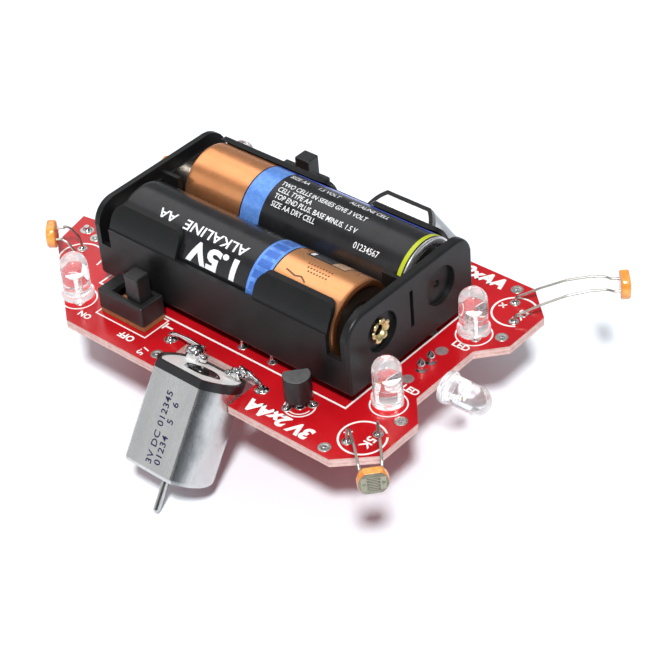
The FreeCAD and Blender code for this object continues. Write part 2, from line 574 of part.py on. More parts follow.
# ---------------------------------------------------------------- rear skid
zc = GROUND + SKID_R
skid = tube([(SKID_X, SKID_HALF, 0.9), (SKID_X, SKID_HALF, zc + 3.0), (SKID_X + 4.5, SKID_HALF - 2.4, zc),
             (SKID_X + 4.5, -SKID_HALF + 2.4, zc), (SKID_X, -SKID_HALF, zc + 3.0), (SKID_X, -SKID_HALF, 0.9)],
            SKID_R, 2.2)
put("rear_skid", skid)
for side in (-1, 1):
    through(SKID_X, side * SKID_HALF, SKID_R, True, True)

# ---------------------------------------------------------------- board
full = PCB_OUTLINE + [(x, -y) for x, y in reversed(PCB_OUTLINE) if y > 0]
board = prism(full, -PCB_T, 0)
cuts = []
for x, y in SPARE_HOLES:
    for side in (-1, 1):
        cuts.append(cyl(SPARE_HOLE_R, PCB_T + 2, V(x, side * y, -PCB_T - 1)))
for x, y, r in lead_holes:
    cuts.append(cyl(r + LEAD_CLEAR, PCB_T + 2, V(x, y, -PCB_T - 1)))
board = board.cut(Part.makeCompound(cuts))
put("circuit_board", board)

# ---------------------------------------------------------------- solder
all_leads = ["supply_wires", "motor_right_wires", "motor_left_wires", "switch_right_pins", "switch_left_pins",
             "lamp_leads", "sensor_leads", "transistor_legs", "resistor_leads", "rear_skid"]
lead_solids = [s for n in all_leads for s in nodes[n].Solids]


def joint(x, y, r, z, up):
    h = 1.05
    d = 1 if up else -1
    cone = Part.makeCone(r + 0.62, r + 0.12, h, V(x, y, z), V(0, 0, d))
    for s in lead_solids:
        b = s.BoundBox
        if b.XMin - 2 < x < b.XMax + 2 and b.YMin - 2 < y < b.YMax + 2:
            cone = cone.cut(s)
    return max(cone.Solids, key=lambda q: q.Volume)


sold = [joint(x, y, r, -PCB_T, False) for x, y, r in solder_low]
sold += [joint(x, y, r, 0, True) for x, y, r in solder_top]
put("solder_joints", group(sold))

# ---------------------------------------------------------------- placing and writing
bb = FreeCAD.BoundBox()
for s in nodes.values():
    bb.add(s.BoundBox)
opt = Part.makeCompound(list(nodes.values())).optimalBoundingBox(True, False)
X0 = -(opt.XMin + opt.XMax) / 2
Z0 = -opt.ZMin
print("box in the board frame", opt, "shift", round(X0, 4), round(Z0, 4), "ground", GROUND)
print("tip", TIP, "nodes", len(nodes))
for name, s in nodes.items():
    t = s.copy()
    t.translate(V(X0, 0, Z0))
    bad = [q for q in t.Solids if not q.isValid() or q.Volume <= 0]
    if bad or not t.Solids or not t.isValid():
        print("PROBLEM", name, len(t.Solids), "solids,", len(bad), "bad, valid", t.isValid())
    shape = t.Solids[0] if len(t.Solids) == 1 else Part.makeCompound(t.Solids)
    shape.exportStep("parts/" + name + ".step")
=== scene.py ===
import bpy, bmesh, math, random
from mathutils import Matrix, Vector


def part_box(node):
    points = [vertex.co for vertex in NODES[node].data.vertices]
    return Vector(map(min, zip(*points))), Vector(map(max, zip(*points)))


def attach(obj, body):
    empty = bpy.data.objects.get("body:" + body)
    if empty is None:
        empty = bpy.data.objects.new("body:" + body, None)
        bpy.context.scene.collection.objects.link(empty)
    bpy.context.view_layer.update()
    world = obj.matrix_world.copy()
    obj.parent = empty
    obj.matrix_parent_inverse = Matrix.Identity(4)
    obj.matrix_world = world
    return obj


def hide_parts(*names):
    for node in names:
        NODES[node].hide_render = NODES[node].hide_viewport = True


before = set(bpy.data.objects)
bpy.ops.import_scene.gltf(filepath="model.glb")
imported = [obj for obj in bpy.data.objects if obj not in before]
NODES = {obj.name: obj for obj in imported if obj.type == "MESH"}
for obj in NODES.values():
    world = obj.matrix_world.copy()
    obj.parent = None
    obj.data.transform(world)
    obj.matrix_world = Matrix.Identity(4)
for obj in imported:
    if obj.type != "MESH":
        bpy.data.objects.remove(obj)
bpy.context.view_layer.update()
_lo, _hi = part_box("circuit_board")
X0 = _lo[0] * 1000 + 60.2          # board drawing frame (mm, top of the board at z = 0) to the row frame
Z0 = _hi[2] * 1000
pi = math.pi


def W(p):
    return ((p[0] + X0) * 0.001, p[1] * 0.001, (p[2] + Z0) * 0.001)


# ------------------------------------------------------------------ camera, floor, light
R0 = (0.7526805, 0.6546886, -0.0696773)
R1 = (0.3657066, -0.5037381, -0.7826280)
R2 = (-0.5474767, 0.5635874, -0.6185778)
CP = W((184.4697, -192.7646, 209.1060))
cam = bpy.data.cameras.new("camera")
camo = bpy.data.objects.new("camera", cam)
bpy.context.scene.collection.objects.link(camo)
camo.matrix_world = Matrix(((R0[0], -R1[0], -R2[0], CP[0]), (R0[1], -R1[1], -R2[1], CP[1]),
                            (R0[2], -R1[2], -R2[2], CP[2]), (0, 0, 0, 1)))
cam.sensor_width = 36
cam.lens = 1994.465 * 36 / 660
cam.clip_start, cam.clip_end = 0.01, 20
bpy.context.scene.camera = camo
bpy.context.scene.view_settings.view_transform = "Standard"
bpy.context.scene.view_settings.look = "None"


# ------------------------------------------------------------------ material helpers
def new_mat(name):
    m = bpy.data.materials.new(name)
    m.use_nodes = True
    nt = m.node_tree
    nt.nodes.clear()
    out = nt.nodes.new("ShaderNodeOutputMaterial")
    b = nt.nodes.new("ShaderNodeBsdfPrincipled")
    nt.links.new(b.outputs[0], out.inputs[0])
    return m, nt, b


def N(nt, kind, **kw):
    n = nt.nodes.new(kind)
    for k, v in kw.items():
        setattr(n, k, v)
    return n


def coords(nt):
    return nt.nodes.new("ShaderNodeTexCoord").outputs["Object"]


def noise(nt, scale, detail=4, rough=0.55, vec=None, stretch=None):
    v = vec or coords(nt)
    if stretch:
        mp = N(nt, "ShaderNodeMapping")
        mp.inputs["Scale"].default_value = stretch
        nt.links.new(v, mp.inputs[0])
        v = mp.outputs[0]
    n = N(nt, "ShaderNodeTexNoise")
    nt.links.new(v, n.inputs["Vector"])
    n.inputs["Scale"].default_value = scale
    n.inputs["Detail"].default_value = detail
    n.inputs["Roughness"].default_value = rough
    return n.outputs["Fac"]


def maprange(nt, val, a, b, c, d):
    m = N(nt, "ShaderNodeMapRange")
    nt.links.new(val, m.inputs[0])
    for i, x in enumerate((a, b, c, d)):
        m.inputs[i + 1].default_value = x
    return m.outputs[0]


def math_(nt, op, a, b=None, c=None):
    m = N(nt, "ShaderNodeMath", operation=op)
    for i, x in enumerate((a, b, c)):
        if x is None:
            continue
        if isinstance(x, (int, float)):
            m.inputs[i].default_value = x
        else:
            nt.links.new(x, m.inputs[i])
    return m.outputs[0]


def mix(nt, fac, a, b, mode="MIX"):
    m = N(nt, "ShaderNodeMix", data_type="RGBA", blend_type=mode)
    if isinstance(fac, (int, float)):
        m.inputs[0].default_value = fac
    else:
        nt.links.new(fac, m.inputs[0])
    for i, x in ((6, a), (7, b)):
        if isinstance(x, tuple):
            m.inputs[i].default_value = x if len(x) == 4 else x + (1,)
        else:
            nt.links.new(x, m.inputs[i])
    return m.outputs[2]


def bump(nt, b, height, dist, strength=1.0, extra=None):
    n = N(nt, "ShaderNodeBump")
    n.inputs["Strength"].default_value = strength
    n.inputs["Distance"].default_value = dist
    nt.links.new(height, n.inputs["Height"])
    if extra:
        nt.links.new(extra, n.inputs["Normal"])
    nt.links.new(n.outputs[0], b.inputs["Normal"])


def basic(name, col, rough, metal=0.0, var=0.10, rvar=0.06, vscale=300, bscale=2500, bdist=0.00002, spec=0.5,
          stretch=None, coat=0.0, coat_rough=0.1, trans=0.0, ior=1.5, bstr=0.5, edge=None, aniso=0.0, dust=0.0):
    """Colour, gloss and bump all varied by noise at the scale of the real surface."""
    m, nt, b = new_mat(name)
    n1 = noise(nt, vscale, 5, 0.6, stretch=stretch)
    lo = tuple(max(0, c * (1 - var)) for c in col)
    hi = tuple(min(1, c * (1 + var)) for c in col)
    c = mix(nt, maprange(nt, n1, 0.3, 0.7, 0, 1), lo, hi)
    if dust:
        n3 = noise(nt, vscale * 4, 6, 0.75)
        c = mix(nt, maprange(nt, n3, 0.60, 0.78, 0, dust), c, (0.45, 0.43, 0.40))
    nt.links.new(c, b.inputs["Base Color"])
    n2 = noise(nt, vscale * 2.3, 4, 0.6, stretch=stretch)
    nt.links.new(maprange(nt, n2, 0.25, 0.75, max(0.02, rough - rvar), min(1, rough + rvar)), b.inputs["Roughness"])
    b.inputs["Metallic"].default_value = metal
    b.inputs["Specular IOR Level"].default_value = spec
    b.inputs["IOR"].default_value = ior
    if coat:
        b.inputs["Coat Weight"].default_value = coat
        b.inputs["Coat Roughness"].default_value = coat_rough
    if trans:
        b.inputs["Transmission Weight"].default_value = trans
    if aniso:
        b.inputs["Anisotropic"].default_value = aniso
    if bscale:
        bump(nt, b, noise(nt, bscale, 3, 0.6, stretch=stretch), bdist, bstr)
    return m


def zone_x(nt):
    """x along the board in mm, as a node output."""
    s = N(nt, "ShaderNodeSeparateXYZ")
    nt.links.new(coords(nt), s.inputs[0])
    return (math_(nt, "MULTIPLY_ADD", s.outputs[0], 1000.0, -X0), math_(nt, "MULTIPLY", s.outputs[1], 1000.0),
            math_(nt, "MULTIPLY_ADD", s.outputs[2], 1000.0, -Z0))


# ------------------------------------------------------------------ mesh helpers (board frame, mm)
class MB:
    def __init__(s):
        s.v, s.f, s.m = [], [], []

    def add(s, verts, faces, mat=0):
        o = len(s.v)
        s.v += [tuple(p) for p in verts]
        s.f += [[i + o for i in f] for f in faces]
        s.m += [mat] * len(faces)
        return s


def axes(z, x=None):
    z = Vector(z).normalized()
    x = Vector(x) if x is not None else (Vector((1, 0, 0)) if abs(z.x) < 0.8 else Vector((0, 1, 0)))
    x = (x - z * x.dot(z)).normalized()
    return x, z.cross(x), z


def lathe(mb, prof, o=(0, 0, 0), z=(0, 0, 1), n=40, mat=0, x=None, close=False, warp=None):
    """Revolves (r, h) points about an axis. A point with r = 0 at either end is a pole."""
    ax, ay, az = axes(z, x)
    o = Vector(o)
    verts, rows = [], []
    for r, h in prof:
        if r < 1e-6:
            verts.append(o + az * h)
            rows.append([len(verts) - 1])
        else:
            row = []
            for i in range(n):
                a = 2 * pi * i / n
                rr = r * (warp(a, h) if warp else 1)
                verts.append(o + ax * (rr * math.cos(a)) + ay * (rr * math.sin(a)) + az * h)
                row.append(len(verts) - 1)
            rows.append(row)
    faces = []
    pairs = list(zip(rows, rows[1:])) + ([(rows[-1], rows[0])] if close else [])
    for a, b in pairs:
        if len(a) == 1 and len(b) == 1:
            continue
        for i in range(n):
            j = (i + 1) % n
            if len(a) == 1:
                faces.append([a[0], b[j], b[i]][::-1])
            elif len(b) == 1:
                faces.append([a[i], a[j], b[0]])
            else:
                faces.append([a[i], a[j], b[j], b[i]])
    mb.add(verts, faces, mat)


def smooth_path(pts, per=8):
    """Catmull-Rom through the points."""
    P = [Vector(p) for p in pts]
    P = [P[0] * 2 - P[1]] + P + [P[-1] * 2 - P[-2]]
    out = []
    for i in range(1, len(P) - 2):
        for k in range(per):
            t = k / per
            a, b, c, d = P[i - 1], P[i], P[i + 1], P[i + 2]
            out.append(0.5 * ((2 * b) + (c - a) * t + (2 * a - 5 * b + 4 * c - d) * t * t + (3 * b - a - 3 * c + d) * t ** 3))
    out.append(P[-2])
    return out


def sweep(mb, pts, r, n=12, mat=0, caps=True, round_end=False):
    """Round tube along points; r is a number or one radius per point."""
    P = [Vector(p) for p in pts]
    R = [r] * len(P) if isinstance(r, (int, float)) else list(r)
    t = (P[1] - P[0]).normalized()
    x, y, _ = axes(t)
    verts, faces = [], []
    for i, p in enumerate(P):
        if i == 0:
            d = P[1] - P[0]
        elif i == len(P) - 1:
            d = P[-1] - P[-2]
        else:
            d = (P[i + 1] - P[i]).normalized() + (P[i] - P[i - 1]).normalized()
        d = d.normalized()
        q = t.rotation_difference(d)
        x = q @ x
        y = d.cross(x)
        t = d
        for k in range(n):
            a = 2 * pi * k / n
            verts.append(p + x * (R[i] * math.cos(a)) + y * (R[i] * math.sin(a)))
    for i in range(len(P) - 1):
        for k in range(n):
            j = (k + 1) % n
            faces.append([i * n + k, i * n + j, (i + 1) * n + j, (i + 1) * n + k])
    if caps:
        faces.append(list(range(n))[::-1])
        faces.append([(len(P) - 1) * n + k for k in range(n)])
    mb.add(verts, faces, mat)


def strip(mb, pts, w, fn, closed=False, mat=0, t=0.03):
    """Flat printed line of width w along 2-D points, with thickness t, placed by fn(u, v, h)."""
    P = [Vector(p) for p in pts]
    n = len(P)
    L, R = [], []
    for i in range(n):
        a = P[(i - 1) % n] if (closed or i) else P[i]
        c = P[(i + 1) % n] if (closed or i < n - 1) else P[i]
        d1 = (P[i] - a).normalized() if (P[i] - a).length > 1e-9 else (c - P[i]).normalized()
        d2 = (c - P[i]).normalized() if (c - P[i]).length > 1e-9 else d1
        nn = Vector((-(d1 + d2).y, (d1 + d2).x)).normalized()
        k = w / 2 / max(0.35, nn.dot(Vector((-d1.y, d1.x))))
        L.append(P[i] + nn * k)
        R.append(P[i] - nn * k)
    verts, faces = [], []
    for a, b in zip(L, R):
        verts += [fn(a.x, a.y, t), fn(b.x, b.y, t), fn(a.x, a.y, 0), fn(b.x, b.y, 0)]
    m = n if closed else n - 1
    for i in range(m):
        j = (i + 1) % n
        faces += [[4 * i, 4 * i + 1, 4 * j + 1, 4 * j], [4 * i, 4 * j, 4 * j + 2, 4 * i + 2],
                  [4 * i + 1, 4 * i + 3, 4 * j + 3, 4 * j + 1]]
    mb.add(verts, faces, mat)


def ring2(cx, cy, r, a0=0, a1=360, n=48):
    k = max(6, int(n * abs(a1 - a0) / 360))
    m = k if abs(a1 - a0) >= 359.9 else k + 1
    return [(cx + r * math.cos(math.radians(a0 + (a1 - a0) * i / k)), cy + r * math.sin(math.radians(a0 + (a1 - a0) * i / k)))
            for i in range(m)]


def text(mb, s, size, fn, bold=0.0, width=1.0, mat=0, t=0.03, align="LEFT", shear=0.0, spacing=1.0, dice=0.0):
    """Lettering as a thin mesh; fn(u, v, h) places it."""
    c = bpy.data.curves.new("t", "FONT")
    c.body = s
    c.size = 1.0
    c.offset = bold
    c.align_x = align
    c.shear = shear
    c.space_character = spacing
    c.resolution_u = 3
    o = bpy.data.objects.new("t", c)
    me = bpy.data.meshes.new_from_object(o)
    if dice:                            # cut into bands, to follow a curved surface
        bm = bmesh.new()
        bm.from_mesh(me)
        step = dice * 0.70 / size
        y0, y1 = min(v.co.y for v in bm.verts), max(v.co.y for v in bm.verts)
        y = y0 + step
        while y < y1:
            bmesh.ops.bisect_plane(bm, geom=bm.verts[:] + bm.edges[:] + bm.faces[:], plane_co=(0, y, 0), plane_no=(0, 1, 0))
            y += step
        bm.to_mesh(me)
        bm.free()
    k = size / 0.70                     # cap height of the built-in face is 0.7 of its size
    vs = [(v.co.x * k * width, v.co.y * k) for v in me.vertices]
    mb.add([fn(u, v, t) for u, v in vs], [list(p.vertices) for p in me.polygons], mat)
    bpy.data.objects.remove(o)
    bpy.data.curves.remove(c)
    bpy.data.meshes.remove(me)


def make(name, mb, mats, body="chassis", angle=38, subdiv=0, bevel=0.0, replaces=(), world=True):
    me = bpy.data.meshes.new(name)
    me.from_pydata([W(p) for p in mb.v] if world else mb.v, [], mb.f)
    mats = mats if isinstance(mats, (list, tuple)) else [mats]
    for m in mats:
        me.materials.append(m)
    me.polygons.foreach_set("material_index", mb.m)
    me.update()
    bm = bmesh.new()
    bm.from_mesh(me)
    bmesh.ops.remove_doubles(bm, verts=bm.verts, dist=1e-7)
    bmesh.ops.recalc_face_normals(bm, faces=bm.faces) if angle is not None and angle > 0 else None
    bm.to_mesh(me)
    bm.free()
    if angle:
        me.shade_smooth()
        me.set_sharp_from_angle(angle=math.radians(abs(angle)))
    o = bpy.data.objects.new(name, me)
    bpy.context.scene.collection.objects.link(o)
    if bevel:
        b = o.modifiers.new("edge", "BEVEL")
        b.width = bevel * 0.001
        b.segments = 2
        b.limit_method = "ANGLE"
        b.angle_limit = math.radians(40)
        b.harden_normals = False
    if subdiv:
        s = o.modifiers.new("round", "SUBSURF")
        s.levels = s.render_levels = subdiv
    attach(o, body)
    if replaces:
        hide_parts(*replaces)
    return o


def finish_node(node, mat):
    o = NODES[node]
    o.data.materials.clear()
    o.data.materials.append(mat)
    return o


def mirror_y(fn):
    return lambda u, v, h: (lambda p: (p[0], -p[1], p[2]))(fn(u, v, h))


# ------------------------------------------------------------------ materials
def board_mat():
    m, nt, b = new_mat("solder_mask")
    geo = N(nt, "ShaderNodeNewGeometry")
    s = N(nt, "ShaderNodeSeparateXYZ")
    nt.links.new(geo.outputs["True Normal"], s.inputs[0])
    side = math_(nt, "LESS_THAN", math_(nt, "ABSOLUTE", s.outputs[2]), 0.5)
    x, y, z = zone_x(nt)
    # mask: deep red with slightly lighter copper pours under it
    n1 = noise(nt, 120, 3, 0.5)
    red = mix(nt, maprange(nt, n1, 0.3, 0.7, 0, 1), (0.40, 0.0042, 0.0085), (0.50, 0.0065, 0.0115))
    fine = noise(nt, 4200, 3, 0.6)
    red = mix(nt, maprange(nt, fine, 0.62, 0.8, 0, 0.2), red, (0.60, 0.03, 0.035))
    # laminate edge: glass plies, paler towards the routed rim, with pinkish bleed of the mask
    lay = N(nt, "ShaderNodeTexWave", wave_type="BANDS", bands_direction="Z")
    nt.links.new(coords(nt), lay.inputs[0])
    lay.inputs["Scale"].default_value = 420
    lay.inputs["Distortion"].default_value = 2.5
    lay.inputs["Detail"].default_value = 3
    e1 = mix(nt, lay.outputs["Fac"], (0.50, 0.24, 0.21), (0.66, 0.42, 0.38))
    e2 = mix(nt, maprange(nt, noise(nt, 900, 5, 0.7), 0.35, 0.65, 0, 0.6), e1, (0.76, 0.58, 0.54))
    nt.links.new(mix(nt, side, red, e2), b.inputs["Base Color"])
    rr = maprange(nt, noise(nt, 260, 4), 0.3, 0.7, 0.16, 0.26)
    nt.links.new(math_(nt, "MULTIPLY_ADD", side, 0.45, rr), b.inputs["Roughness"])
    b.inputs["Specular IOR Level"].default_value = 0.5
    h = math_(nt, "ADD", math_(nt, "MULTIPLY", noise(nt, 700, 2), 0.6), math_(nt, "MULTIPLY", noise(nt, 5000, 2), 0.15))
    bump(nt, b, h, 0.00004, 0.5)
    return m


def holder_mat():
    m, nt, b = new_mat("holder_black")
    n1 = noise(nt, 220, 5, 0.65)
    c = mix(nt, maprange(nt, n1, 0.3, 0.7, 0, 1), (0.0045, 0.0047, 0.005), (0.0085, 0.0087, 0.009))
    scuff = noise(nt, 900, 6, 0.8, stretch=(1, 1, 1.8))
    c = mix(nt, maprange(nt, scuff, 0.66, 0.80, 0, 0.3), c, (0.035, 0.035, 0.036))
    nt.links.new(c, b.inputs["Base Color"])
    nt.links.new(maprange(nt, n1, 0.25, 0.75, 0.34, 0.46), b.inputs["Roughness"])
    b.inputs["Specular IOR Level"].default_value = 0.34
    bump(nt, b, noise(nt, 3800, 3, 0.7), 0.00003, 0.45)
    return m


MASK = board_mat()
HOLDER = holder_mat()
INK = basic("white_ink", (0.82, 0.80, 0.78), 0.5, var=0.06, vscale=2500, bscale=9000, bdist=0.000008)
PAD = basic("tinned_pad", (0.60, 0.60, 0.56), 0.30, metal=0.9, var=0.22, vscale=1400, bscale=2600, bdist=0.00003, rvar=0.1)
PADGREY = basic("bare_pad", (0.42, 0.30, 0.30), 0.42, metal=0.55, var=0.2, vscale=1600, bscale=5000, bdist=0.00001)
SOLDER = basic("solder", (0.74, 0.74, 0.74), 0.09, metal=1.0, var=0.12, rvar=0.05, vscale=600, bscale=1100, bdist=0.000025)
TIN = basic("tinned_wire", (0.72, 0.71, 0.69), 0.24, metal=1.0, var=0.12, rvar=0.08, vscale=900, bscale=2400, bdist=0.00002)
STEEL = basic("steel_wire", (0.58, 0.58, 0.57), 0.22, metal=1.0, var=0.12, vscale=700, bscale=2600, bdist=0.00002, stretch=(1, 1, 0.3))
NICKEL = basic("nickel_plate", (0.74, 0.71, 0.65), 0.24, metal=1.0, var=0.10, vscale=400, bscale=3000, bdist=0.00001)
BRASS = basic("brass", (0.78, 0.64, 0.33), 0.36, metal=1.0, var=0.18, vscale=1500, bscale=3000, bdist=0.00003)
CAPBLK = basic("cap_black", (0.010, 0.010, 0.011), 0.30, var=0.2, vscale=500, bscale=3500, bdist=0.00001)
WHITE = basic("white_nylon", (0.93, 0.93, 0.92), 0.22, var=0.04, vscale=500, bscale=3000, bdist=0.00001, coat=0.3)
BRONZE = basic("sintered_bronze", (0.50, 0.34, 0.17), 0.42, metal=1.0, var=0.2, vscale=1500, bscale=6000, bdist=0.00002)
FERRITE = basic("ferrite", (0.05, 0.05, 0.052), 0.6, var=0.25, vscale=900, bscale=5000, bdist=0.00003)
COPPER = basic("bare_copper", (0.80, 0.38, 0.22), 0.25, metal=1.0, var=0.15, vscale=600, bscale=3000, bdist=0.00001)
LAM = basic("lamination_steel", (0.38, 0.38, 0.39), 0.4, metal=1.0, var=0.15, vscale=500, bscale=3500, bdist=0.00003, stretch=(0.3, 0.3, 4))
SWITCH = basic("switch_plastic", (0.013, 0.013, 0.013), 0.38, var=0.16, vscale=400, bscale=3600, bdist=0.00002, dust=0.05)
EPOXY = basic("moulded_epoxy", (0.016, 0.016, 0.017), 0.42, var=0.2, vscale=700, bscale=4200, bdist=0.00003, dust=0.06)
# painted light: a lighter grey copy of the epoxy, for top faces lit from above
EPOXY_PAINTED_LIT_TOP = basic("moulded_epoxy_painted_lit_top", (0.10, 0.10, 0.10), 0.62, var=0.15, vscale=900, bscale=4800, bdist=0.00003)


def phenolic_mat():
    m, nt, b = new_mat("phenolic_paper")
    lay = N(nt, "ShaderNodeTexWave", wave_type="BANDS", bands_direction="Z")
    nt.links.new(coords(nt), lay.inputs[0])
    lay.inputs["Scale"].default_value = 900
    lay.inputs["Distortion"].default_value = 3
    c = mix(nt, lay.outputs["Fac"], (0.16, 0.055, 0.018), (0.34, 0.14, 0.05))
    c = mix(nt, maprange(nt, noise(nt, 1200, 5, 0.7), 0.4, 0.7, 0, 0.5), c, (0.42, 0.20, 0.08))
    nt.links.new(c, b.inputs["Base Color"])
    nt.links.new(maprange(nt, noise(nt, 900), 0.3, 0.7, 0.3, 0.45), b.inputs["Roughness"])
    bump(nt, b, noise(nt, 4000), 0.00002, 0.5)
    return m


def can_mat():
    m, nt, b = new_mat("motor_can_plating")
    n1 = noise(nt, 160, 5, 0.6, stretch=(1.0, 0.25, 0.25))
    n2 = noise(nt, 1500, 4, 0.6, stretch=(3.0, 0.4, 0.4))
    c = mix(nt, maprange(nt, n1, 0.3, 0.7, 0, 1), (0.54, 0.545, 0.54), (0.68, 0.68, 0.675))
    c = mix(nt, maprange(nt, n2, 0.45, 0.7, 0, 0.35), c, (0.47, 0.47, 0.47))
    # painted reflection: a dark band along the drawn corner between each flat and the round sides
    x, y, z = zone_x(nt)
    off = math_(nt, "ABSOLUTE", math_(nt, "ADD", x, 8.9))
    wob = maprange(nt, noise(nt, 130, 3, 0.5), 0.3, 0.7, -0.45, 0.75)
    rim = math_(nt, "SUBTRACT", off, wob)
    band = math_(nt, "MULTIPLY", maprange(nt, off, 5.14, 5.3, 0, 1), maprange(nt, rim, 6.0, 7.0, 1, 0))
    c = mix(nt, math_(nt, "MULTIPLY", band, 0.72), c, (0.13, 0.14, 0.155))
    nt.links.new(c, b.inputs["Base Color"])
    nt.links.new(maprange(nt, n2, 0.25, 0.75, 0.19, 0.30), b.inputs["Roughness"])
    b.inputs["Metallic"].default_value = 0.93
    bump(nt, b, n2, 0.00002, 0.35)
    return m


PHENOLIC = phenolic_mat()
CANM = can_mat()

# ------------------------------------------------------------------ carried-over CAD nodes
finish_node("circuit_board", MASK)
finish_node("holder_tray", HOLDER)
# painted shade: nickel darkened for the contact plates and series link, which sit in the holder's shade
NICKEL_PAINTED_SHADE = basic("nickel_painted_shade", (0.40, 0.38, 0.35), 0.34, metal=1.0, var=0.15, vscale=500, bscale=3000, bdist=0.00001)
for n in ("contact_plates", "series_link"):
    finish_node(n, NICKEL_PAINTED_SHADE)
for s in ("right", "left"):
    for part, m in (("can", CANM), ("end_cap", CAPBLK), ("cap_plate", WHITE), ("bushes", BRONZE), ("magnets", FERRITE),
                    ("terminals", TIN), ("brushes", COPPER), ("armature", LAM), ("windings", COPPER),
                    ("commutator", COPPER), ("shaft", STEEL)):
        finish_node("motor_%s_%s" % (s, part), m)
    for part, m in (("case", SWITCH), ("lever", SWITCH), ("base", PHENOLIC), ("pins", TIN), ("wiper", COPPER)):
        finish_node("switch_%s_%s" % (s, part), m)
for n in ("supply_wires", "lamp_leads", "resistor_leads", "transistor_legs", "sensor_leads"):
    finish_node(n, TIN)
LEGS = basic("sensor_leg_tin", (0.50, 0.47, 0.42), 0.34, metal=1.0, var=0.15, rvar=0.08, vscale=900, bscale=2400, bdist=0.00002)
finish_node("sensor_leads", LEGS)
finish_node("rear_skid", STEEL)

# ------------------------------------------------------------------ shared positions (board frame, mm)
IN0, IN1 = -40.3, 14.6
LEAD_END = -2.9
TILT = math.radians(34.2)
MO = Vector((-8.9, -25.55, 1.15))
CAP_L = 1.45


def motor_pt(x, y, z, side=-1):
    p = MO + Vector((1, 0, 0)) * x + Vector((0, -math.cos(TILT), math.sin(TILT))) * y + Vector((0, -math.sin(TILT), -math.cos(TILT))) * z
    return Vector((p.x, p.y if side < 0 else -p.y, p.z))


LAMPS = {"front": ((19.8, 11.2), 40), "rear": ((-42.35, 21.4), 140)}
LDR = {"front_left": ((35.6, 32.2, 4.5), (0.75, 0.66, 0)), "front_right": ((33.5, -31.0, 5.6), (0.75, -0.66, 0)),
       "rear_right": ((-54.9, -15.3, 5.0), (-0.75, -0.66, 0)), "rear_left": ((-56.3, 16.6, 1.6), (-0.75, 0.66, 0))}
leads = []                      # (x, y, radius, below, above)
for sd in (-1, 1):
    leads += [(13.65, sd * 7.5, 0.35, 1, 0), (-21.0, sd * 20.1, 0.4, 1, 2), (0.73, sd * 20.8, 0.4, 1, 2),
              (18.5, sd * 1.27, 0.28, 0, 3), (-56.3, sd * 6.3, 0.5, 1, 1)]
    leads += [(x, -19.1 if sd < 0 else 24.6, 0.3, 1, 0) for x in (-33.6, -31.1, -28.6)]
    leads += [(x, sd * y, 0.22, 1, 1) for x, y in ((20.2, 22.1), (23.1, 17.8), (-49.4, 14.75), (-52.8, 10.85))]
    for (lx, ly), turn in LAMPS.values():
        a = math.radians(turn)
        leads += [(lx + k * math.cos(a), sd * (ly - k * math.sin(a)), 0.28, 1, 0) for k in (-1.27, 1.27)]
    td = Vector((2.84, 3.17)).normalized()
    for k in (-1, 0, 1):
        leads.append((8.51 + td.x * k * 2.13, sd * (20.145 - td.y * k * 2.13), 0.22, 1, 1))
    for x in (-2.8, -9.6):
        leads += [(x, sd * 4.5, 0.27, 1, 0), (x, sd * 14.3, 0.27, 1, 1)]


# ------------------------------------------------------------------ white print, tinned pads
def top(u, v, h):
    return (u, v, 0.004 + h)


def placed(ox, oy, ux, uy, flip=False):
    """Text plane on the board: u runs along (ux, uy), v to its left."""
    return lambda u, v, h: (ox + u * ux - v * uy, oy + u * uy + v * ux, 0.004 + h)


pr = MB()
strip(pr, [(-42.6, -16.15), (14.8, -16.15), (14.8, 16.15), (-42.6, 16.15)], 0.34, top, closed=True)
for sd in (-1, 1):
    strip(pr, ring2(21.7, sd * 20.0, 3.95, 52 if sd < 0 else -308, 398 if sd < 0 else -52), 0.34, top)
    strip(pr, ring2(-51.1, sd * 12.8, 4.1, 0, 330), 0.32, top)
    for (lx, ly), turn in LAMPS.values():
        strip(pr, ring2(lx, sd * ly, 3.12, 0, 360), 0.24, top, closed=True)
    cx, cy = 8.51, sd * 20.145
    strip(pr, ring2(cx, cy, 2.62, -175 if sd < 0 else -40, 40 if sd < 0 else 175), 0.26, top)
    strip(pr, ring2(cx, cy, 2.02, -150 if sd < 0 else 0, 0 if sd < 0 else 150), 0.2, top)
    dy = 0 if sd < 0 else 4.35
    strip(pr, [(-36.9, sd * 22.55 + dy), (-24.85, sd * 22.55 + dy), (-24.85, sd * 16.75 + dy), (-36.9, sd * 16.75 + dy)], 0.24, top, closed=True)
    for a in (45, 135):
        c, s = math.cos(math.radians(a)), math.sin(math.radians(a))
        strip(pr, [(18.95 - 0.75 * c, sd * 20.3 - 0.75 * s), (18.95 + 0.75 * c, sd * 20.3 + 0.75 * s)], 0.26, top)
        strip(pr, [(-53.2 - 0.5 * c, sd * 14.6 - 0.5 * s), (-53.2 + 0.5 * c, sd * 14.6 + 0.5 * s)], 0.2, top)
text(pr, "5K", 1.7, placed(22.3, -18.9, 0, -1), bold=0.02)
text(pr, "5K", 1.7, placed(22.3, 21.3, 0, -1), bold=0.02)
text(pr, "LED", 1.35, placed(18.35, 6.75, 1, 0), bold=0.03)
text(pr, "LED", 1.35, placed(18.75, -7.05, 1, 0), bold=0.03)
text(pr, "3V 2xAA", 2.5, placed(14.9, -23.4, -1, 0), bold=0.05, width=1.04, shear=0.15)
text(pr, "3V 2xAA", 2.5, placed(2.0, 23.7, 1, 0), bold=0.05, width=1.04, shear=0.15)
text(pr, "OFF", 1.35, placed(-26.0, -23.55, -1, 0), bold=0.035)
text(pr, "OFF", 1.35, placed(-30.0, 18.6, 1, 0), bold=0.035)
text(pr, "ON", 1.2, placed(-36.6, -23.7, -1, 0), bold=0.03)
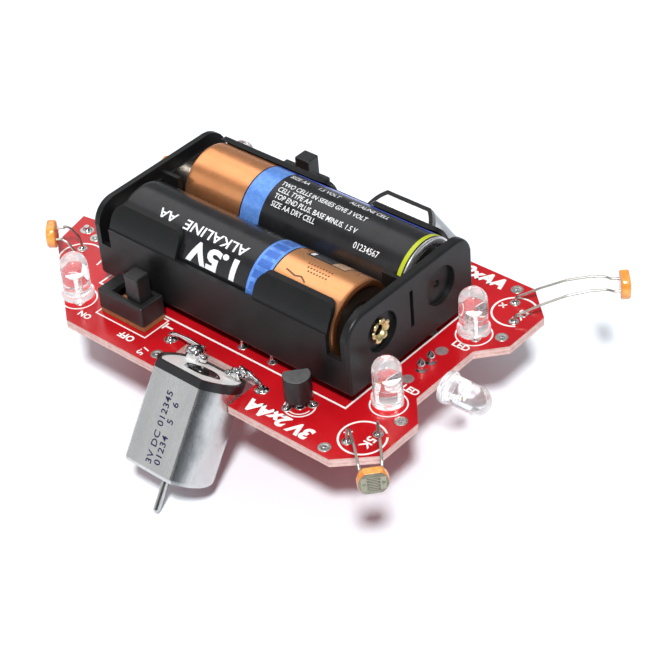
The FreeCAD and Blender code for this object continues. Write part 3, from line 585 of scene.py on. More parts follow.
text(pr, "ON", 1.2, placed(-36.4, 18.6, 1, 0), bold=0.03)
text(pr, "T", 1.9, placed(-22.6, -18.9, 0, 1), bold=0.02)
text(pr, "1.5", 1.3, placed(-23.0, -24.0, -0.2, -1), bold=0.02)
text(pr, "T", 1.9, placed(-22.6, 18.9, 0, -1), bold=0.02)
make("board_print", pr, INK, angle=-30)

pads = MB()


def pad(mb, x, y, ri, ro, z=0.0, up=1, sx=1.0, mat=0, ang=0.0):
    ca, sa = math.cos(ang), math.sin(ang)
    prof = [(ri, -0.3), (ri, 0.03), (ri + 0.06, 0.06), ((ri + ro) / 2, 0.07), (ro - 0.05, 0.06), (ro, 0.0)]
    v, rows = [], []
    n = 32
    for r, h in prof:
        for i in range(n):
            a = 2 * pi * i / n
            px, py = r * math.cos(a), r * math.sin(a)
            if r > ri + 0.01:
                px *= sx
            v.append((x + px * ca - py * sa, y + px * sa + py * ca, z + up * h))
    f = [[k * n + i, k * n + (i + 1) % n, (k + 1) * n + (i + 1) % n, (k + 1) * n + i] for k in range(len(prof) - 1) for i in range(n)]
    mb.add(v, f, mat)


for x, y in ((18.25, 25.27), (24.04, 13.26), (-20.07, 24.41), (-53.2, 7.07)):
    for sd in (-1, 1):
        pad(pads, x, sd * y, 0.5, 1.12)
        pad(pads, x, sd * y, 0.5, 1.12, -1.6, -1)
        lathe(pads, [(0, 0.10), (0.2, 0.085), (0.36, 0.03), (0.46, -0.06), (0.495, -0.2)], (x, sd * y, 0), n=24, mat=2)
for x, y, r, lo, up in leads:
    long = r >= 0.4
    if abs(x - 18.5) > 0.01 or True:
        pad(pads, x, y, r + 0.06, max(0.92, r + 0.62), sx=1.25 if long else 1.0, ang=0.4 if y < 0 else -0.4)
    pad(pads, x, y, r + 0.06, max(0.92, r + 0.62), -1.6, -1, sx=1.2 if long else 1.0)
for sd in (-1, 1):
    lathe(pads, [(0, 0.02), (0.5, 0.025), (1.0, 0.022), (1.12, 0.0)], (18.2, sd * 4.5, 0), n=36, mat=1)
make("board_pads", pads, [PAD, PADGREY, SOLDER], angle=30)

# traces that stand a little proud under the mask, on the underside
tr = MB()


def low(u, v, h):
    return (u, v, -1.602 - h)


random.seed(4)
ROUTES = [[(13.65, 7.5), (6, 7.5), (-2.8, 4.5)], [(13.65, -7.5), (13.65, -14), (9.93, -18.56)], [(-2.8, 14.3), (2.5, 17), (7.1, 21.7)],
          [(0.73, 20.8), (5.5, 20.8), (8.51, 20.15)], [(-9.6, 14.3), (-14, 17), (-21, 20.1)], [(-28.6, 19.1), (-24, 17.5), (-9.6, 14.3)],
          [(-31.1, 19.1), (-31.1, 11), (-40, 4), (-53.2, 7.07)], [(18.5, 1.27), (15.5, 4.5), (-9.6, 4.5)], [(-33.6, 19.1), (-38, 15), (-49.4, 14.75)],
          [(20.2, 22.1), (14, 22.5), (9.93, 18.56)], [(23.1, 17.8), (23.1, 14.5), (19.8, 11.2)], [(-52.8, 10.85), (-46, 10), (-42.35, 19.5)],
          [(18.25, 25.27), (10, 25.3), (2, 24), (0.73, 20.8)], [(-20.07, 24.41), (-26, 24.4), (-33.6, 21.5), (-33.6, 19.1)]]
for path in ROUTES:
    for sd in (-1, 1):
        strip(tr, [(x, y * sd if (sd < 0 or y != 19.1) else 24.6) for x, y in path], 0.75, low, t=0.035)
TRACE = basic("mask_over_copper", (0.56, 0.016, 0.02), 0.2, var=0.1, vscale=300, bscale=1800, bdist=0.00002)
make("board_traces", tr, TRACE, angle=-30)

# ------------------------------------------------------------------ solder
so = MB()


def fillet(mb, x, y, z, r, up, h=1.15, w=0.72, seed=0, tip=True):
    rnd = random.Random(seed * 7919 + int(x * 31 + y * 17))
    ph = [rnd.uniform(0, 6.28) for _ in range(3)]
    prof = [(r + w, -0.01), (r + w * 0.93, 0.07), (r + w * 0.70, h * 0.16), (r + w * 0.45, h * 0.34), (r + w * 0.25, h * 0.58),
            (r + w * 0.13, h * 0.8), (r + 0.03, h * 0.95)]
    prof += [(r * 0.7, h * 1.04), (0, h * 1.08)] if tip else [(r * 0.98, h)]
    lathe(mb, prof, (x, y, z), (0, 0, up), n=24,
          warp=lambda a, q: 1 + 0.07 * math.sin(2 * a + ph[0]) + 0.04 * math.sin(3 * a + ph[1] + q))


for i, (x, y, r, lo, up) in enumerate(leads):
    if lo:
        fillet(so, x, y, -1.66, r, -1, 1.15, 0.62, i)
    if up == 3:
        lathe(so, [(1.0, 0.0), (0.93, 0.10), (0.80, 0.22), (0.72, 0.38), (0.72, 0.62), (0.77, 0.90), (0.76, 1.15), (0.66, 1.45), (0.48, 1.75), (0.30, 2.0),
                   (0.16, 2.22), (0.07, 2.4), (0, 2.45)],
              (x, y, 0.04), (0.02, 0.02, 1), n=36, warp=lambda a, q: 1 + 0.03 * math.sin(2 * a + 1.3))
    elif up == 2:
        fillet(so, x, y, 0.06, r, 1, 0.8, 0.75, i, tip=False)
    elif up == 1:
        fillet(so, x, y, 0.06, r, 1, 0.45 if abs(abs(y) - 14.3) > 0.1 else 1.5, 0.5, i, tip=abs(abs(y) - 14.3) < 0.1)
make("solder_fillets", so, SOLDER, angle=60, replaces=("solder_joints",))


def blob(mb, c, rx, ry, rz, seed=1, n=20, mat=0):
    rnd = random.Random(seed)
    ph = [rnd.uniform(0, 6.28) for _ in range(4)]
    verts, faces = [], []
    rows = n // 2
    for i in range(rows + 1):
        t = pi * i / rows
        for k in range(n):
            a = 2 * pi * k / n
            q = 1 + 0.07 * math.sin(2 * a + ph[0]) * math.sin(t) + 0.06 * math.sin(3 * t + ph[1]) + 0.04 * math.cos(a * 3 + t * 2 + ph[2])
            verts.append((c[0] + rx * q * math.sin(t) * math.cos(a), c[1] + ry * q * math.sin(t) * math.sin(a), c[2] + rz * q * math.cos(t)))
    for i in range(rows):
        for k in range(n):
            faces.append([i * n + k, i * n + (k + 1) % n, (i + 1) * n + (k + 1) % n, (i + 1) * n + k])
    mb.add(verts, faces, mat)


for side, sn in ((-1, "right"), (1, "left")):
    mb = MB()
    for sx, px, py in ((-1, -21.0, 20.1), (1, 0.73, 20.8)):
        a = motor_pt(sx * 4.2, -4.3, -CAP_L - 1.92, side)
        b = motor_pt(sx * 5.4, -4.6, -CAP_L - 1.92, side)
        ze, zp, arch = (1.0, 0.55, 0.0) if sx > 0 else (1.6, 0.9, 1.0)
        pts = smooth_path([a, a.lerp(b, 0.6) + Vector((0, 0, 0.12 * arch)), b.lerp(Vector((px, side * py, ze)), 0.35) + Vector((0, 0, 0.25 * arch)),
                           b.lerp(Vector((px, side * py, ze)), 0.75) + Vector((0, 0, 0.1 * arch)), (px, side * py, zp), (px, side * py, -0.8),
                           (px, side * py, LEAD_END)], 8)
        n = len(pts)
        rad = [0.40 + 0.13 * math.exp(-((i / n - 0.05) / 0.12) ** 2) + 0.07 * math.sin(i * 0.55 + sx) * (i < n * 0.6) for i in range(n)]
        rad = [min(r, 0.44) if p.z < 0.6 else r for r, p in zip(rad, pts)]
        sweep(mb, pts, rad, 14)
        if sx < 0:
            blob(mb, motor_pt(-5.0, -3.55, -CAP_L - 0.75, side), 1.75, 1.5, 1.5, 3 + side, 40)
            blob(mb, motor_pt(-3.0, -3.4, -CAP_L - 0.75, side), 0.85, 0.75, 0.7, 5 + side, 20)
            blob(mb, motor_pt(-6.1, -4.2, -CAP_L - 1.5, side), 0.62, 0.55, 0.55, 6 + side, 20)
        else:
            blob(mb, motor_pt(4.2, -3.75, -CAP_L - 0.95, side), 1.25, 1.0, 1.05, 8 + side, 28)
            blob(mb, motor_pt(3.1, -3.2, -CAP_L - 0.65, side), 0.75, 0.6, 0.55, 10 + side, 20)
            blob(mb, motor_pt(5.4, -4.2, -CAP_L - 1.5, side), 0.95, 0.8, 0.72, 9 + side, 22)
            blob(mb, motor_pt(6.5, -4.4, -CAP_L - 1.7, side), 0.62, 0.55, 0.5, 12 + side, 18)
    make("motor_%s_tinned_wires" % sn, mb, SOLDER, angle=70, replaces=("motor_%s_wires" % sn,))


# black sheet and collar on each motor's white end plate, round the rear bush: painted shade of the opening into the
# motor
for side, sn in ((-1, "right"), (1, "left")):
    mb = MB()
    rim, inn = [], []
    for i in range(48):
        t = 2 * pi * i / 48
        c_, s_ = math.cos(t), math.sin(t)
        x = 0.35 + 3.7 * c_
        y = -0.25 + 2.0 * s_ * (1 - 0.35 * c_ * c_) + 0.25 * math.cos(2 * t)
        rim.append((x, y))
    lay = [(1.0, 0.14), (0.97, 0.20), (0.93, 0.16), (0.86, 0.10)]
    vs, fs = [], []
    for k, h in lay:
        vs += [motor_pt(0.35 + (x - 0.35) * k, -0.25 + (y + 0.25) * k, -CAP_L + 0.2 - h + 0.1, side) for x, y in rim]
    for l in range(3):
        fs += [[l * 48 + i, l * 48 + (i + 1) % 48, (l + 1) * 48 + (i + 1) % 48, (l + 1) * 48 + i] for i in range(48)]
    vs.append(motor_pt(0.35, -0.25, -CAP_L + 0.2, side))
    fs += [[144 + i, 144 + (i + 1) % 48, 192] for i in range(48)]
    mb.add(vs, fs)
    az = motor_pt(0, 0, 1, side) - motor_pt(0, 0, 0, side)
    lathe(mb, [(1.55, -0.05), (1.5, -0.28), (1.3, -0.42), (0.95, -0.45), (0.85, -0.3), (0.83, 0.1)], motor_pt(0, 0, -CAP_L + 0.2, side), az, n=32, mat=1)
    make("motor_%s_cap_window" % sn, mb, [CAPBLK, CAPBLK], angle=50)


# ------------------------------------------------------------------ cells
def cell_mat(name, near):
    m, nt, b = new_mat(name)
    x, y, z = zone_x(nt)
    cy = -7.74 if near else 7.74
    ang = math_(nt, "ARCTAN2", math_(nt, "SUBTRACT", z, 11.1), math_(nt, "SUBTRACT", y, cy))     # radians from +y
    deg = math_(nt, "MULTIPLY", ang, 57.29578)
    n1 = noise(nt, 350, 5, 0.6)
    black = mix(nt, maprange(nt, n1, 0.3, 0.7, 0, 1), (0.0075, 0.0075, 0.0085), (0.014, 0.014, 0.016))
    cop = mix(nt, maprange(nt, noise(nt, 500, 3, 0.5, stretch=(0.2, 1.5, 1.5)), 0.3, 0.7, 0, 1), *(((1.0, 0.43, 0.175), (1.0, 0.50, 0.23)) if near else ((0.97, 0.385, 0.15), (1.0, 0.45, 0.20))))
    wob = noise(nt, 1500, 2, 0.4)
    blue = mix(nt, maprange(nt, wob, 0.40, 0.65, 0, 1), (0.115, 0.29, 0.78), (0.16, 0.35, 0.85))
    edges = []
    if near:
        # light blocks with darker outlines in the band
        cu = math_(nt, "MULTIPLY", deg, 1 / 17.0)
        fr = math_(nt, "FRACT", cu)
        fx = math_(nt, "ABSOLUTE", math_(nt, "ADD", x, 5.2))
        inside = math_(nt, "MULTIPLY", math_(nt, "GREATER_THAN", math_(nt, "ABSOLUTE", math_(nt, "SUBTRACT", fr, 0.5)), 0.17),
                       math_(nt, "LESS_THAN", fx, 1.35))
        hole = math_(nt, "MULTIPLY", math_(nt, "LESS_THAN", math_(nt, "ABSOLUTE", math_(nt, "SUBTRACT", fr, 0.5)), 0.33),
                     math_(nt, "LESS_THAN", fx, 0.62))
        blue = mix(nt, math_(nt, "MULTIPLY", inside, 0.75), blue, (0.035, 0.11, 0.46))
        blue = mix(nt, math_(nt, "MULTIPLY", hole, 0.5), blue, (0.06, 0.18, 0.60))
        c = mix(nt, math_(nt, "GREATER_THAN", x, -7.2), black, blue)
        c = mix(nt, math_(nt, "GREATER_THAN", x, -3.2), c, cop)
        for e in (-7.2, -3.2):
            edges.append(math_(nt, "LESS_THAN", math_(nt, "ABSOLUTE", math_(nt, "SUBTRACT", x, e)), 0.13))
        metal = math_(nt, "GREATER_THAN", x, -3.2)
        bandf = math_(nt, "MULTIPLY", math_(nt, "GREATER_THAN", x, -7.2), math_(nt, "LESS_THAN", x, -3.2))
        # painted shade: darker towards the curled lip at the cell's end
        c = mix(nt, maprange(nt, x, 11.1, 11.8, 0, 0.85), c, (0.24, 0.06, 0.018))
    else:
        c = mix(nt, math_(nt, "LESS_THAN", x, -18.3), black, blue)
        c = mix(nt, math_(nt, "LESS_THAN", x, -22.9), c, cop)
        for e in (-18.3, -22.9, 11.7, 12.75):
            edges.append(math_(nt, "LESS_THAN", math_(nt, "ABSOLUTE", math_(nt, "SUBTRACT", x, e)), 0.13))
        stripe = math_(nt, "MULTIPLY", math_(nt, "LESS_THAN", math_(nt, "ABSOLUTE", math_(nt, "SUBTRACT", deg, 52.0)), 9.0),
                       math_(nt, "MULTIPLY", math_(nt, "GREATER_THAN", x, -22.9), math_(nt, "LESS_THAN", x, 11.7)))
        c = mix(nt, stripe, c, (0.10, 0.15, 0.66))
        c = mix(nt, math_(nt, "GREATER_THAN", x, 11.7), c, (0.44, 0.50, 0.012))
        c = mix(nt, math_(nt, "GREATER_THAN", x, 12.75), c, (0.80, 0.80, 0.80))
        metal = math_(nt, "ADD", math_(nt, "LESS_THAN", x, -22.9), math_(nt, "GREATER_THAN", x, 12.75))
        bandf = math_(nt, "MULTIPLY", math_(nt, "GREATER_THAN", x, -22.9), math_(nt, "LESS_THAN", x, -18.3))
    for e in edges:
        c = mix(nt, e, c, (0.012, 0.012, 0.02))
    nt.links.new(c, b.inputs["Base Color"])
    nt.links.new(math_(nt, "ADD", math_(nt, "MULTIPLY", metal, 0.90), math_(nt, "MULTIPLY", bandf, 0.35)), b.inputs["Metallic"])
    rr = maprange(nt, noise(nt, 420, 4), 0.3, 0.7, 0.24, 0.32)
    nt.links.new(math_(nt, "MULTIPLY_ADD", metal, 0.01, rr), b.inputs["Roughness"])
    b.inputs["Specular IOR Level"].default_value = 0.5
    bump(nt, b, noise(nt, 260, 3, 0.5), 0.00003, 0.3)
    return m


NEARL, FARL = cell_mat("near_cell_sleeve", True), cell_mat("far_cell_sleeve", False)
CELLEND = basic("cell_end_plating", (0.78, 0.78, 0.77), 0.18, metal=1.0, var=0.08, vscale=500, bscale=2500, bdist=0.00002)
# painted shade: the plated positive nub coloured near black, where it sits in the holder's shade
CELL_NUB_PAINTED_SHADE = basic("cell_nub_painted_shade", (0.07, 0.066, 0.062), 0.45, metal=1.0, var=0.15, vscale=700, bscale=2500, bdist=0.00002)
SEAL = basic("cell_seal", (0.022, 0.012, 0.007), 0.45, var=0.15, vscale=900, bscale=4000, bdist=0.00002)


def wrap(cy, r, along, up):
    """Places print on a cell: u mm along x (sign along), v mm round the cell, toward -y for up = 1."""
    def at(x0, deg0):
        def fn(u, v, h):
            a = math.radians(deg0) + up * v / r
            return (x0 + along * u, cy + (r + h * 0.4) * math.cos(a), 11.1 + (r + h * 0.4) * math.sin(a))
        return fn
    return at


PW = basic("label_white", (0.80, 0.81, 0.83), 0.32, var=0.05, vscale=2000, bscale=6000, bdist=0.000005)
PB = basic("label_black", (0.012, 0.011, 0.011), 0.3, var=0.2, vscale=2000, bscale=6000, bdist=0.000005)
PBRN = basic("label_brown", (0.16, 0.06, 0.03), 0.35, var=0.2, vscale=2000, bscale=6000, bdist=0.000005)
PGR = basic("label_gauge", (0.05, 0.047, 0.05), 0.25, metal=0.3, var=0.25, vscale=1500, bscale=6000, bdist=0.000005)
PLT = basic("label_gauge_light", (0.80, 0.52, 0.34), 0.28, metal=0.6, var=0.1, vscale=1500, bscale=6000, bdist=0.000005)
for name, cy, xn, d, mat in (("cell_right", -7.74, -37.6, 1, NEARL), ("cell_left", 7.74, 13.3, -1, FARL)):
    mb = MB()
    R = 7.16
    sleeve = [(6.0, 0.16), (6.1, 0.05), (6.35, 0.0), (6.75, 0.05), (7.02, 0.22), (R, 0.62), (R, 1.2)]
    sleeve += [(R, 1.2 + 47.2 * i / 24) for i in range(1, 25)]
    sleeve += [(R, 48.95), (7.04, 49.36), (6.8, 49.55), (6.5, 49.6), (6.2, 49.56), (6.1, 49.4)]
    lathe(mb, sleeve, (xn, cy, 11.1), (d, 0, 0), n=96, mat=0)
    lathe(mb, [(6.12, 0.16), (5.9, 0.1), (5.6, 0.2), (5.2, 0.22), (4.9, 0.1), (4.6, 0.02), (1.0, 0.0), (0, 0.0)][::-1], (xn, cy, 11.1), (d, 0, 0), n=64, mat=1)
    lathe(mb, [(6.12, 49.42), (5.7, 49.2), (3.3, 49.0)], (xn, cy, 11.1), (d, 0, 0), n=64, mat=2)
    lathe(mb, [(3.35, 48.98), (3.1, 49.02), (2.85, 49.12), (2.72, 49.3), (2.7, 50.0), (2.6, 50.28), (2.35, 50.38), (0, 50.4)],
          (xn, cy, 11.1), (d, 0, 0), n=48, mat=3)
    make(name + "_wrapped", mb, [mat, CELLEND, SEAL, CELL_NUB_PAINTED_SHADE], angle=35, replaces=(name,))

near = wrap(-7.74, 7.168, -1, 1)
lp = MB()
text(lp, "1.5V", 3.35, near(-8.9, 131.5), bold=0.045, width=1.28, spacing=1.05, dice=0.35)
text(lp, "ALKALINE", 1.85, near(-9.6, 108.5), bold=0.012, width=1.2, dice=0.35)
text(lp, "AA", 1.85, near(-26.0, 108.5), bold=0.012, width=1.1, dice=0.35)


def rect2(mb, fn, u0, u1, v0, v1, mat=0, t=0.03, n=10):
    vs, fs = [], []
    for i in range(n + 1):
        for j in range(5):
            vs.append(fn(u0 + (u1 - u0) * i / n, v0 + (v1 - v0) * j / 4, t))
    for i in range(n):
        for j in range(4):
            fs.append([i * 5 + j, (i + 1) * 5 + j, (i + 1) * 5 + j + 1, i * 5 + j + 1])
    mb.add(vs, fs, mat)


tb = wrap(-7.74, 7.165, 1, 1)(-0.9, 43.0)
rect2(lp, tb, 0.0, 8.3, 0.0, 3.9, 1, 0.02)
rect2(lp, tb, 0.18, 5.1, 0.18, 3.72, 2, 0.04)
rect2(lp, tb, 0.4, 1.1, 2.1, 3.4, 0, 0.06)
rect2(lp, tb, 5.35, 8.1, 0.18, 3.72, 3, 0.04)
dots = wrap(-7.74, 7.165, 1, 1)
rnd = random.Random(7)
for row, dg in enumerate((88, 95, 101)):
    for k in range(9 - row):
        rect2(lp, dots(1.2 + k * 0.62 + row * 0.6, dg), 0, 0.3, 0, 0.34, 4, 0.02, n=1)
strip(lp, [(0, 0), (2.2, 0.5), (3.4, 0.2), (4.6, 0.9)], 0.3, dots(-1.2, 112), mat=4, t=0.02)
make("cell_right_print", lp, [PW, PB, PGR, PLT, PBRN], angle=-30)

fp = MB()
far = wrap(7.74, 7.168, 1, -1)
for dg, s, x0, sz in ((75, "SIZE AA      1.5 VOLT       ALKALINE CELL", -17.9, 0.98), (96, "TWO CELLS IN SERIES GIVE 3 VOLT", -17.7, 0.98),
                      (107, "CELL TYPE AA", -17.4, 0.98), (118, "TOP END PLUS. BASE MINUS. 1.5 V", -17.2, 0.98),
                      (129.5, "SIZE AA DRY CELL", -17.0, 0.98), (136, "01234567", 1.8, 1.1)):
    text(fp, s, sz, far(x0, dg + 4), bold=0.006, width=0.86, dice=0.3)
make("cell_left_print", fp, [PW], angle=-30)


# ------------------------------------------------------------------ contact springs, as wound wire
sp = MB()
for cy, xa, xb, r0, r1, turns, wr in ((-7.6, -39.65, -38.0, 3.6, 2.2, 3.6, 0.32), (7.6, 14.02, 13.62, 3.6, 1.7, 3.2, 0.22)):
    pts = []
    n = int(turns * 28)
    for i in range(n + 1):
        t = i / n
        a = 2 * pi * turns * t
        k = min(1, max(0, (t - 0.12) / 0.76))
        r = r0 + (r1 - r0) * k
        pts.append((xa + (xb - xa) * k, cy + r * math.cos(a), 10.95 + r * math.sin(a)))
    sweep(sp, pts, wr, 10)
make("contact_coils", sp, NICKEL, angle=60, replaces=("contact_springs",))

# ------------------------------------------------------------------ burst rivet in the near recess
rv = MB()
XF = 15.2
lathe(rv, [(0.98, -1.2), (1.20, -1.2), (1.22, 0.05), (1.16, 0.12), (1.02, 0.10), (0.98, 0.0)], (XF, -7.5, 10.85), (1, 0, 0), n=40, close=True)
rnd = random.Random(5)
PET = [(78, 27, 1.06), (131, 22, 1.10), (184, 28, 0.86), (243, 29, 1.0), (300, 27, 0.92), (352, 24, 0.84), (30, 16, 1.0)]
for a_, half, ln in PET:
    a0 = math.radians(a_ + rnd.uniform(-3, 3))
    vs, fs = [], []
    NT, NW = 9, 7
    for i in range(NT):
        t = i / (NT - 1)
        r = 1.08 + 1.12 * ln * t ** 1.1
        h = 0.02 + 0.80 * ln * math.sin(t * pi * 0.60)
        hw = math.radians(half) * (1.0 - 0.05 * t - 0.38 * max(0.0, t - 0.6) / 0.4)
        for j in range(NW):
            q = j / (NW - 1) * 2 - 1
            jag = 0.10 * math.sin(j * 2.1 + a_) * max(0.0, t - 0.6)
            for th in (0.055, -0.055):
                rr = r + jag - th * 0.7 - 0.10 * q * q * t
                hh = h + th - 0.14 * q * q * t
                vs.append((XF + hh, -7.5 + rr * math.cos(a0 + q * hw), 10.85 + rr * math.sin(a0 + q * hw)))
    def ix(i, j, k):
        return (i * NW + j) * 2 + k
    for i in range(NT - 1):
        for j in range(NW - 1):
            fs.append([ix(i, j, 0), ix(i + 1, j, 0), ix(i + 1, j + 1, 0), ix(i, j + 1, 0)])
            fs.append([ix(i, j + 1, 1), ix(i + 1, j + 1, 1), ix(i + 1, j, 1), ix(i, j, 1)])
        for j in (0, NW - 1):
            q_ = [ix(i, j, 0), ix(i, j, 1), ix(i + 1, j, 1), ix(i + 1, j, 0)]
            fs.append(q_ if j == 0 else q_[::-1])
    for i in (0, NT - 1):
        for j in range(NW - 1):
            q_ = [ix(i, j, 0), ix(i, j + 1, 0), ix(i, j + 1, 1), ix(i, j, 1)]
            fs.append(q_ if i == 0 else q_[::-1])
    rv.add(vs, fs)
make("front_rivet_burst", rv, BRASS, angle=50, replaces=("front_rivet",))


# ------------------------------------------------------------------ lamps
def lens_mat():
    m, nt, b = new_mat("clear_epoxy")
    c = mix(nt, maprange(nt, noise(nt, 260, 3), 0.3, 0.7, 0, 1), (0.95, 0.95, 0.96), (1.0, 0.985, 0.99))
    nt.links.new(c, b.inputs["Base Color"])
    b.inputs["Transmission Weight"].default_value = 0.93
    b.inputs["IOR"].default_value = 1.48
    nt.links.new(maprange(nt, noise(nt, 500, 4), 0.3, 0.7, 0.0, 0.05), b.inputs["Roughness"])
    bump(nt, b, noise(nt, 350, 2), 0.00003, 0.25)
    return m


LENS = lens_mat()
RIM, nt, b = new_mat("cloudy_epoxy")
nt.links.new(mix(nt, maprange(nt, noise(nt, 900, 4), 0.3, 0.7, 0, 1), (0.90, 0.89, 0.90), (1.0, 0.99, 1.0)), b.inputs["Base Color"])
b.inputs["Transmission Weight"].default_value = 0.80
b.inputs["IOR"].default_value = 1.48
nt.links.new(maprange(nt, noise(nt, 1200, 4), 0.3, 0.7, 0.05, 0.22), b.inputs["Roughness"])
bump(nt, b, noise(nt, 1400, 2), 0.00003, 0.3)
CUP = basic("lamp_cup", (0.95, 0.95, 0.94), 0.30, metal=0.15, var=0.06, vscale=900, bscale=4000, bdist=0.00001)
FRAMEM = basic("lamp_frame", (0.90, 0.90, 0.89), 0.28, metal=0.45, var=0.1, vscale=900, bscale=4000, bdist=0.00001)
DIE = basic("lamp_die", (0.75, 0.60, 0.18), 0.4, var=0.2, vscale=3000, bscale=6000, bdist=0.00001)


def lens_profile():
    p = [(0, 0.18), (1.9, 0.18), (2.15, 0.06), (2.4, 0.0), (2.75, 0.0), (2.88, 0.12), (2.9, 0.3), (2.9, 0.72), (2.86, 0.9), (2.7, 0.99), (2.56, 1.02), (2.5, 1.12)]
    p += [(2.5 - 0.02 * i / 6, 1.12 + (6.2 - 1.12) * i / 6) for i in range(1, 7)]
    p += [(2.48 * math.cos(pi / 2 * i / 14), 6.2 + 2.5 * math.sin(pi / 2 * i / 14)) for i in range(1, 14)] + [(0, 8.7)]
    return p


def lamp(name, o, z, x, node_slot="clear_lens"):
    ax, ay, az = axes(z, x)
    o = Vector(o)
    flat = math.acos(2.5 / 2.9)

    def warp(a, h):
        if h < 1.0:
            t = (a + pi) % (2 * pi) - pi
            if abs(t) < flat:
                return min(1.0, 2.5 / 2.9 / math.cos(t))
        return 1.0
    body = MB()
    lathe(body, lens_profile(), o, z, n=56, x=ax, warp=warp)
    body.m = [1 if sum((Vector(body.v[k]) - o).dot(az) for k in f) / len(f) < 1.06 else 0 for f in body.f]
    inner = MB()

    def P(a, b, c):
        return o + ax * a + ay * b + az * c

    def bar(x0, x1, y0, y1, z0, z1, mat=0, top=None):
        t = top or (x0, x1, y0, y1)
        v = [P(x0, y0, z0), P(x1, y0, z0), P(x1, y1, z0), P(x0, y1, z0), P(t[0], t[2], z1), P(t[1], t[2], z1), P(t[1], t[3], z1), P(t[0], t[3], z1)]
        inner.add(v, [[0, 3, 2, 1], [4, 5, 6, 7], [0, 1, 5, 4], [1, 2, 6, 5], [2, 3, 7, 6], [3, 0, 4, 7]], mat)
    # cathode side: leg, anvil and reflector cup; anode side: leg and post
    bar(0.98, 1.50, -0.25, 0.25, 0.25, 2.3)
    bar(0.55, 1.50, -0.25, 0.25, 2.3, 3.1, 0, (-0.25, 1.55, -0.25, 0.25))
    bar(-0.25, 1.55, -0.25, 0.25, 3.1, 3.9, 0, (-0.30, 1.35, -0.25, 0.25))
    bar(-1.50, -0.98, -0.25, 0.25, 0.25, 2.6)
    bar(-1.55, -0.85, -0.25, 0.25, 2.6, 4.1, 0, (-1.35, -0.62, -0.22, 0.22))
    cup_o = P(0.45, 0, 0)
    lathe(inner, [(0.0, 3.95), (0.42, 3.95), (0.86, 4.42), (0.92, 4.42), (0.92, 4.30), (0.62, 3.86), (0, 3.8)], cup_o, z, n=32, mat=1, x=ax)
    bar(0.29, 0.61, -0.16, 0.16, 3.96, 4.14, 2)
    wire = smooth_path([P(0.45, 0, 4.15), P(0.2, 0, 4.65), P(-0.45, 0, 4.72), P(-0.98, 0, 4.12)], 6)
    sweep(inner, wire, 0.035, 6, 2)
    return body, inner


def join_lamps(name, parts, nodes):
    body, inner = MB(), MB()
    for b, i in parts:
        o = len(body.v)
        body.v += b.v
        body.f += [[k + o for k in f] for f in b.f]
        body.m += b.m
        o = len(inner.v)
        inner.v += i.v
        inner.f += [[k + o for k in f] for f in i.f]
        inner.m += i.m
    make(name + "_inner", inner, [FRAMEM, CUP, DIE], angle=40)
    lens = make(name + "_lens", body, [LENS, RIM], angle=35, replaces=nodes)
    lens.visible_shadow = False


for key, ((lx, ly), turn) in LAMPS.items():
    parts = []
    for sd in (-1, 1):
        a = math.radians(turn)
        parts.append(lamp(key, (lx, sd * ly, 0.9), (0, 0, 1), (math.cos(a), -sd * math.sin(a), 0)))
    join_lamps("lamps_" + key, parts, ("lamps_" + key,))
join_lamps("lamp_nose", [lamp("nose", (22.75, 0, -2.35), (1, 0, 0), (0, 1, 0))], ("lamp_nose",))


# ------------------------------------------------------------------ light sensors
def face_mat():
    m, nt, b = new_mat("sensor_ceramic")
    geo = noise(nt, 700, 5, 0.6)
    c = mix(nt, maprange(nt, geo, 0.3, 0.7, 0, 1), (0.13, 0.12, 0.078), (0.22, 0.205, 0.135))
    nt.links.new(c, b.inputs["Base Color"])
    nt.links.new(maprange(nt, noise(nt, 900), 0.3, 0.7, 0.18, 0.3), b.inputs["Roughness"])
    b.inputs["Coat Weight"].default_value = 0.6
    b.inputs["Coat Roughness"].default_value = 0.06
    bump(nt, b, noise(nt, 500, 2), 0.00006, 0.4)
    return m


SFACE = face_mat()
SLACQ, nt, b = new_mat("sensor_lacquer")
n1 = noise(nt, 420, 3, 0.5)
c = mix(nt, maprange(nt, n1, 0.35, 0.65, 0, 1), (0.74, 0.21, 0.022), (0.86, 0.40, 0.075))
c = mix(nt, maprange(nt, noise(nt, 900, 4, 0.6), 0.55, 0.75, 0, 0.6), c, (0.93, 0.66, 0.30))
nt.links.new(c, b.inputs["Base Color"])
nt.links.new(maprange(nt, n1, 0.3, 0.7, 0.14, 0.26), b.inputs["Roughness"])
b.inputs["Coat Weight"].default_value = 0.5
b.inputs["Coat Roughness"].default_value = 0.08
bump(nt, b, noise(nt, 900, 2), 0.00006, 0.5)
SELEC = basic("sensor_electrode", (0.32, 0.30, 0.22), 0.30, metal=0.35, var=0.12, vscale=1800, bscale=5000, bdist=0.00001)
SDOT = basic("sensor_joint", (0.16, 0.20, 0.14), 0.3, metal=0.4, var=0.2, vscale=1800, bscale=3000, bdist=0.00002)
STRACK = basic("sensor_track", (0.085, 0.075, 0.05), 0.35, var=0.25, vscale=2200, bscale=5000, bdist=0.00001)
